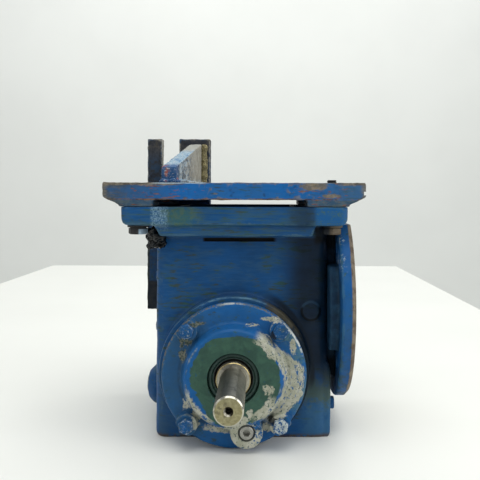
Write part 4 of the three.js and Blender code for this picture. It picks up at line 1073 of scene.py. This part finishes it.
def make_plate():
    px, py, z0, z1 = 126.0, 100.0, 239.8, 256.3
    low = arc(-px + 6, z0 + 6, 6, 180, 270, 6)
    main = prism([(-px, z0 + 2.6), (-px + 3.2, z0 + 1.1), (-px + 6, z0), (px - 6, z0), (px - 3.2, z0 + 1.1), (px, z0 + 2.6), (px, z1), (-px, z1)], -py, py, "y")
    flare = [(110, 233.3), (110.4, 235.6), (113, 236.3), (118.6, 239), (122.8, 240.9), (px, 242.4)]
    right = [(70, z0 + 3), (70, 233.3)] + flare + [(px, z0 + 3)]
    left = [(-78, z0 + 3), (-78, 233.3)] + [(-x, z) for x, z in flare] + [(-px, z0 + 3)]
    parts = [main]
    for p in (left, right):
        parts += [prism(p, -py, -56, "y"), prism(p, 56, py, "y")]
    ob = remesh(join(parts, "p"), 1.25 * Q, 3)
    def edge(p):
        a = np.clip((np.abs(p[:, 0]) - 118) / 8, 0, 1)
        b = np.clip((np.abs(p[:, 1]) - 95) / 5, 0, 1)
        return 0.35 + 0.9 * np.maximum(a, b)
    wobble(ob, 0.5, 9, 5, edge)
    wear(ob, 10)
    cut(ob, block(123.8, 130, -101, -60, 244.5, 248))
    cut(ob, block(-150, 150, -120, 120, 220, 233.3))
    cut(ob, join([cyl(5.7, 225, 262, "z", c, 32) for c in FOOT_BOLTS], "t"))
    return dress(ob, "adapter_plate_cut", P_PLATE, "housing", "plate_paint", "adapter_plate", angle=40, curv=0)


def make_fork():
    ob = prism([(-118, 100), (-39, 100), (-39, 315), (-118, 315)], 100.3, 117, "y")
    r = (99.8 - 78) / 2
    slot = prism([(-99.8, 320), (-99.8, 251 + r)] + arc(-88.9, 251 + r, r, 180, 360, 24) + [(-78, 251 + r), (-78, 320)], 99, 119, "y")
    cut(ob, slot)
    remesh(ob, 1.1 * Q, 3)
    wobble(ob, 0.5, 8, 6)
    return dress(ob, "fork_plate_cut", P_FORK, "housing", "plate_paint", "fork_plate", angle=40)


def make_gusset():
    ob = prism([(-91, 0), (91, 0), (91, 51), (84, 51), (-91, 15.5)], -7.2, 7.2, "x")
    remesh(ob, 0.9 * Q, 3)
    wobble(ob, 0.55, 7, 7)
    ob.data.transform(at(-60.6, 8.4, 256.6, 0, 0, -0.048))
    return dress(ob, "gusset_cut", P_GUSSET, "housing", "plate_paint", "gusset", angle=40)


def make_shaft():
    P = [(0, -199), (11.1, -199), (12.5, -197.6), (12.5, -112), (15.8, -111.6), (16.4, -111), (16.4, -87), (17.2, -86.8), (17.2, -24.4), (19, -24.4), (19, 24.3), (23, 24.3), (23, 31.9), (17.2, 31.9), (17.2, 50), (0, 50)]
    ob = lathe(P, "y", (0, WHEEL_Z), 128)
    bore = lathe([(0, -202), (4.3, -202), (4.0, -199), (2.6, -196.9), (2.4, -196.7), (2.4, -184), (0, -182.6)], "y", (0, WHEEL_Z), 48)
    key = prism(arc(0, -154, 4, 0, 180, 16) + arc(0, -190, 4, 180, 360, 16), WHEEL_Z - 14, WHEEL_Z - 8.5)
    seat = block(-5.3, 5.3, -20.3, 20.3, WHEEL_Z + 14, WHEEL_Z + 20)
    cut(ob, bore, key, seat)
    bevel(ob, 0.18, 2, 30)
    return dress(ob, "output_shaft_turned", M_SHAFT, "output", "shaft_steel", "output_shaft", angle=25, curv=0)


def make_seals():
    p = [(24.5, -105.2), (24.5, -98.3), (19.8, -98.3), (17.6, -98.9), (16.9, -100.2), (16.65, -101.6), (16.9, -102.8), (17.6, -103.6), (18.0, -104.6), (18.7, -105.2), (19.6, -105.0), (20.0, -104.2),
         (20.4, -105.6), (21.2, -106.5), (22.2, -106.6), (23.6, -106.2)]
    ob = lathe(p, "y", (0, WHEEL_Z), 144)
    dress(ob, "output_seal_lip", M_RUBBER, "housing", "seal_rubber", "output_seal", angle=40, curv=0)
    p = [(29.7, 86.4), (29.7, 93.0), (29.0, 93.7), (21.5, 93.7), (20.6, 92.6), (19.6, 93.5), (18.6, 92.6), (17.6, 90), (18.2, 88.4), (20, 86.4)]
    ob = lathe(p, "x", (0, WORM_Z), 128)
    dress(ob, "input_seal_lip", M_RUBBER, "housing", "seal_rubber", "input_seal", angle=40, curv=0)


def make_plugs():
    ob = cyl(6.5, -108.8, -98, "y", (12.6, 20.6), 64, 0.5)
    hexk = prism([(12.6 + 3.7 * math.cos(math.radians(60 * k)), 20.6 + 3.7 * math.sin(math.radians(60 * k))) for k in range(6)], -112, -103, "y")
    cut(ob, hexk)
    dress(ob, "cap_plug_socket", M_PLUG, "housing", "plug_steel", "cap_plug", angle=30, curv=0)
    ob = lathe([(0, -98.2), (8.4, -98.2), (9, -97.6), (9, -78), (0, -78)], "x", (0, 36), 64)
    hexk = prism([(5.6 * math.cos(math.radians(60 * k)), 36 + 5.6 * math.sin(math.radians(60 * k))) for k in range(6)], -100, -91, "x")
    cut(ob, hexk)
    dress(ob, "side_plug_socket", P_SMALL, "housing", "blue_paint", "side_plug", angle=30, curv=6)
    a = cyl(6.4, 80, 97.5, "x", (-46, 30), 48)
    h = prism([(-46 + 6.6 * math.cos(math.radians(60 * k)), 30 + 6.6 * math.sin(math.radians(60 * k))) for k in range(6)], 96.7, 101.6, "x")
    cone = lathe([(0, 96.5), (7, 96.5), (7, 100.2), (5.6, 101.6), (0, 101.6)], "x", (-46, 30), 48)
    cut(h, cone, op="INTERSECT")
    ob = remesh(union(a, h), 0.45 * Q, 2)
    dress(ob, "drain_plug_hex", P_SMALL, "housing", "blue_paint", "drain_plug", angle=40, curv=6)


def make_end_cover():
    ob = lathe([(0, -81.3), (42.6, -81.3), (44, -80), (44, -77.2), (31, -77.2), (31, -74.3), (24, -74.3), (24, -79.4), (0, -79.4)], "x", (0, WORM_Z), 128)
    cut(ob, join([cyl(3.7, -92, -74, "x", c, 24) for c in COVER_BOLTS], "t"))
    remesh(ob, 1.0 * Q, 1)
    dress(ob, "worm_end_cover_cast", P_SMALL, "housing", "blue_paint", "worm_end_cover", angle=36)


def make_gaskets():
    ob = lathe([(54.2, -85.3), (69.3, -85.3), (69.6, -84.9), (69.4, -84.3), (54.2, -84.3)], "y", (0, WHEEL_Z), 160)
    cut(ob, join([cyl(4.8, -90, -80, "y", c, 24) for c in CAP_BOLTS], "t"))
    dress(ob, "cap_gasket_sheet", M_GASKET, "housing", "gasket_paper", "cap_gasket", curv=0)


def bead(points, r, name, seed, body="housing", slot="plate_paint", mat=None):
    """A weld bead: overlapping ripples along a line, in mm."""
    parts = []
    rng = np.random.default_rng(seed)
    for i in range(len(points) - 1):
        a, b = np.array(points[i], float), np.array(points[i + 1], float)
        n = max(1, int(np.linalg.norm(b - a) / (r * 0.55)))
        for k in range(n):
            p = a + (b - a) * k / n + rng.normal(0, r * 0.07, 3)
            rr = r * (1 + rng.normal(0, 0.09))
            prof = [(rr * math.sin(math.pi * j / 8) if 0 < j < 8 else 0, -rr * math.cos(math.pi * j / 8)) for j in range(9)]
            s = lathe(prof, "z", (0, 0), 14)
            s.data.transform(Matrix.Translation(Vector(p) * MM))
            parts.append(s)
    ob = remesh(join(parts, "bead"), r * 0.16 * Q, 1)
    wobble(ob, r * 0.12, r * 1.4, seed)
    return ob


def make_beads():
    c, s = math.cos(-0.048), math.sin(-0.048)
    def g(x, y, z):
        return (-60.6 + x * c - y * s, 8.4 + x * s + y * c, 256.6 + z)
    lines = [[g(-7.6, -88, 0.9), g(-7.6, 88, 0.9)], [g(7.6, -88, 0.9), g(7.6, 88, 0.9)], [g(-6, -91.4, 1.2), g(6, -91.4, 1.2)]]
    for i, ln in enumerate(lines):
        ob = bead(ln, 2.6, "w", 30 + i)
        dress(ob, f"weld_bead_base_{i + 1}", P_GUSSET, "housing", "plate_paint", angle=60, curv=6)
    for i, (sx, br, off) in enumerate(((-1, 2.5, 7.8), (1, 4.6, 9.6))):
        ob = bead([g(sx * off, 90.0, 4), g(sx * off, 90.0, 49)], br, "w", 40 + i)
        dress(ob, f"weld_bead_upright_{i + 1}", P_SEAM, "housing", "plate_paint", angle=60, curv=6)
    ob = bead([(-112, 100.2, 257.4), (-72, 100.2, 257.4)], 2.4, "w", 50)
    dress(ob, "weld_bead_fork_1", P_FORK, "housing", "plate_paint", angle=60, curv=6)
    ob = bead([(-52, 100.2, 257.4), (-41, 100.2, 257.4)], 2.4, "w", 51)
    dress(ob, "weld_bead_fork_2", P_FORK, "housing", "plate_paint", angle=60, curv=6)


def make_blob():
    rng = np.random.default_rng(77)
    parts = []
    for px, py, pz, r in ((-79, -74, 207, 7.2), (-75, -80, 203, 6), (-82, -69, 202, 6.8), (-80, -71, 196, 6), (-71, -76, 209, 5), (-84, -73, 207, 4.8), (-84, -71, 193, 4), (-73, -73, 196, 4.5)):
        prof = [(r * math.sin(math.pi * j / 10) if 0 < j < 10 else 0, -r * math.cos(math.pi * j / 10)) for j in range(11)]
        s = lathe(prof, "z", (0, 0), 20)
        s.data.transform(Matrix.Translation(Vector((px, py, pz)) * MM))
        parts.append(s)
    ob = remesh(join(parts, "blob"), 0.55 * Q, 3)
    wobble(ob, 2.4, 6.5, 9)
    wobble(ob, 0.45, 2.6, 10)
    dress(ob, "sealant_lump", M_SEALANT, "housing", "seal_rubber", angle=70, curv=0)


make_housing()
make_cap()
make_flange()
make_plate()
make_fork()
make_gusset()
make_shaft()
make_seals()
make_bolts()
make_foot_bolts()
make_flange_screws()
make_plugs()
make_end_cover()
make_gaskets()
make_beads()
make_blob()

# CAD pieces that keep their own mesh get a material by node name, bearing steel for the rest
NODE_MATERIAL = {"worm_shaft": M_QUILL, "wheel_rim": M_BRONZE, "wheel_hub": M_HUB, "worm_lock_nut": M_DARK, "end_cover_gasket": M_GASKET}
for node_name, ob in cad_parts.items():
    mat = NODE_MATERIAL.get(node_name, M_BEAR)
    ob.data.materials.clear()
    ob.data.materials.append(mat)

# ------------------------------------------------------------------ stage, light, camera


def stage_mat(name, col, rough=0.6):
    m = Mat(name)
    n = m.noise(400, 3, 0.5, 0, (1, 1, 1), 141)
    c = m.tint(n.step(0.3, 0.7), tuple(v * 0.97 for v in col), col)
    return m.out(c, rough, 0.0, None, 0.1, 0.25)


def plane(name, verts, mat):
    me = bpy.data.meshes.new(name)
    me.from_pydata(verts, [], [(0, 1, 2, 3)])
    ob = bpy.data.objects.new(name, me)
    me.materials.append(mat)
    scene.collection.objects.link(ob)
    return ob


M_TABLE = stage_mat("pale_table", (0.83, 0.84, 0.79), 0.42)
M_WALL = stage_mat("pale_wall", (0.82, 0.835, 0.80), 0.9)
plane("table_top", [(-0.665, -1.2, 0), (0.505, -1.2, 0), (0.490, 1.50, 0), (-0.690, 1.50, 0)], M_TABLE)
plane("backdrop", [(-6, 3.0, -2.5), (6, 3.0, -2.5), (6, 3.0, 4.5), (-6, 3.0, 4.5)], M_WALL)
plane("room_floor", [(-6, -4, -0.9), (6, -4, -0.9), (6, 3.1, -0.9), (-6, 3.1, -0.9)], M_WALL)


def area(name, loc, target, size, power, color=(1, 1, 1)):
    li = bpy.data.lights.new(name, "AREA")
    li.shape = "RECTANGLE"
    li.size, li.size_y = size
    li.energy = power
    li.color = color
    ob = bpy.data.objects.new(name, li)
    scene.collection.objects.link(ob)
    ob.location = loc
    ob.rotation_euler = (Vector(target) - Vector(loc)).to_track_quat("-Z", "Y").to_euler()
    return ob


area("key_top", (0.15, -0.45, 1.7), (0, 0, 0.12), (1.6, 1.3), 18)
area("fill_left", (-1.4, -1.1, 0.8), (0, 0, 0.15), (0.8, 1.0), 5)
area("fill_right", (1.5, -0.75, 0.75), (0.1, 0, 0.12), (0.8, 1.2), 11)
area("wall_wash", (0.0, 1.2, 2.6), (0, 3.0, 0.4), (4.0, 0.8), 57)

world = bpy.data.worlds.new("pale_room")
world.use_nodes = True
world.node_tree.nodes["Background"].inputs["Color"].default_value = (0.95, 0.97, 1.0, 1)
world.node_tree.nodes["Background"].inputs["Strength"].default_value = 0.40
scene.world = world
scene.view_settings.view_transform = "Standard"

cam = bpy.data.cameras.new("cam")
cam.lens = 48.3
cam.sensor_width = 36.0
cam.sensor_fit = "HORIZONTAL"
cam.clip_start = 0.02
cam_ob = bpy.data.objects.new("cam", cam)
scene.collection.objects.link(cam_ob)
cam_ob.location = (0.0259, -0.714, 0.2449)
cam_ob.rotation_euler = (math.pi / 2, math.radians(-0.15), 0.0)
# the photograph's frame is off its optical axis
cam.shift_x = -21.3 / 480.0
cam.shift_y = -45.3 / 480.0
scene.camera = cam_ob
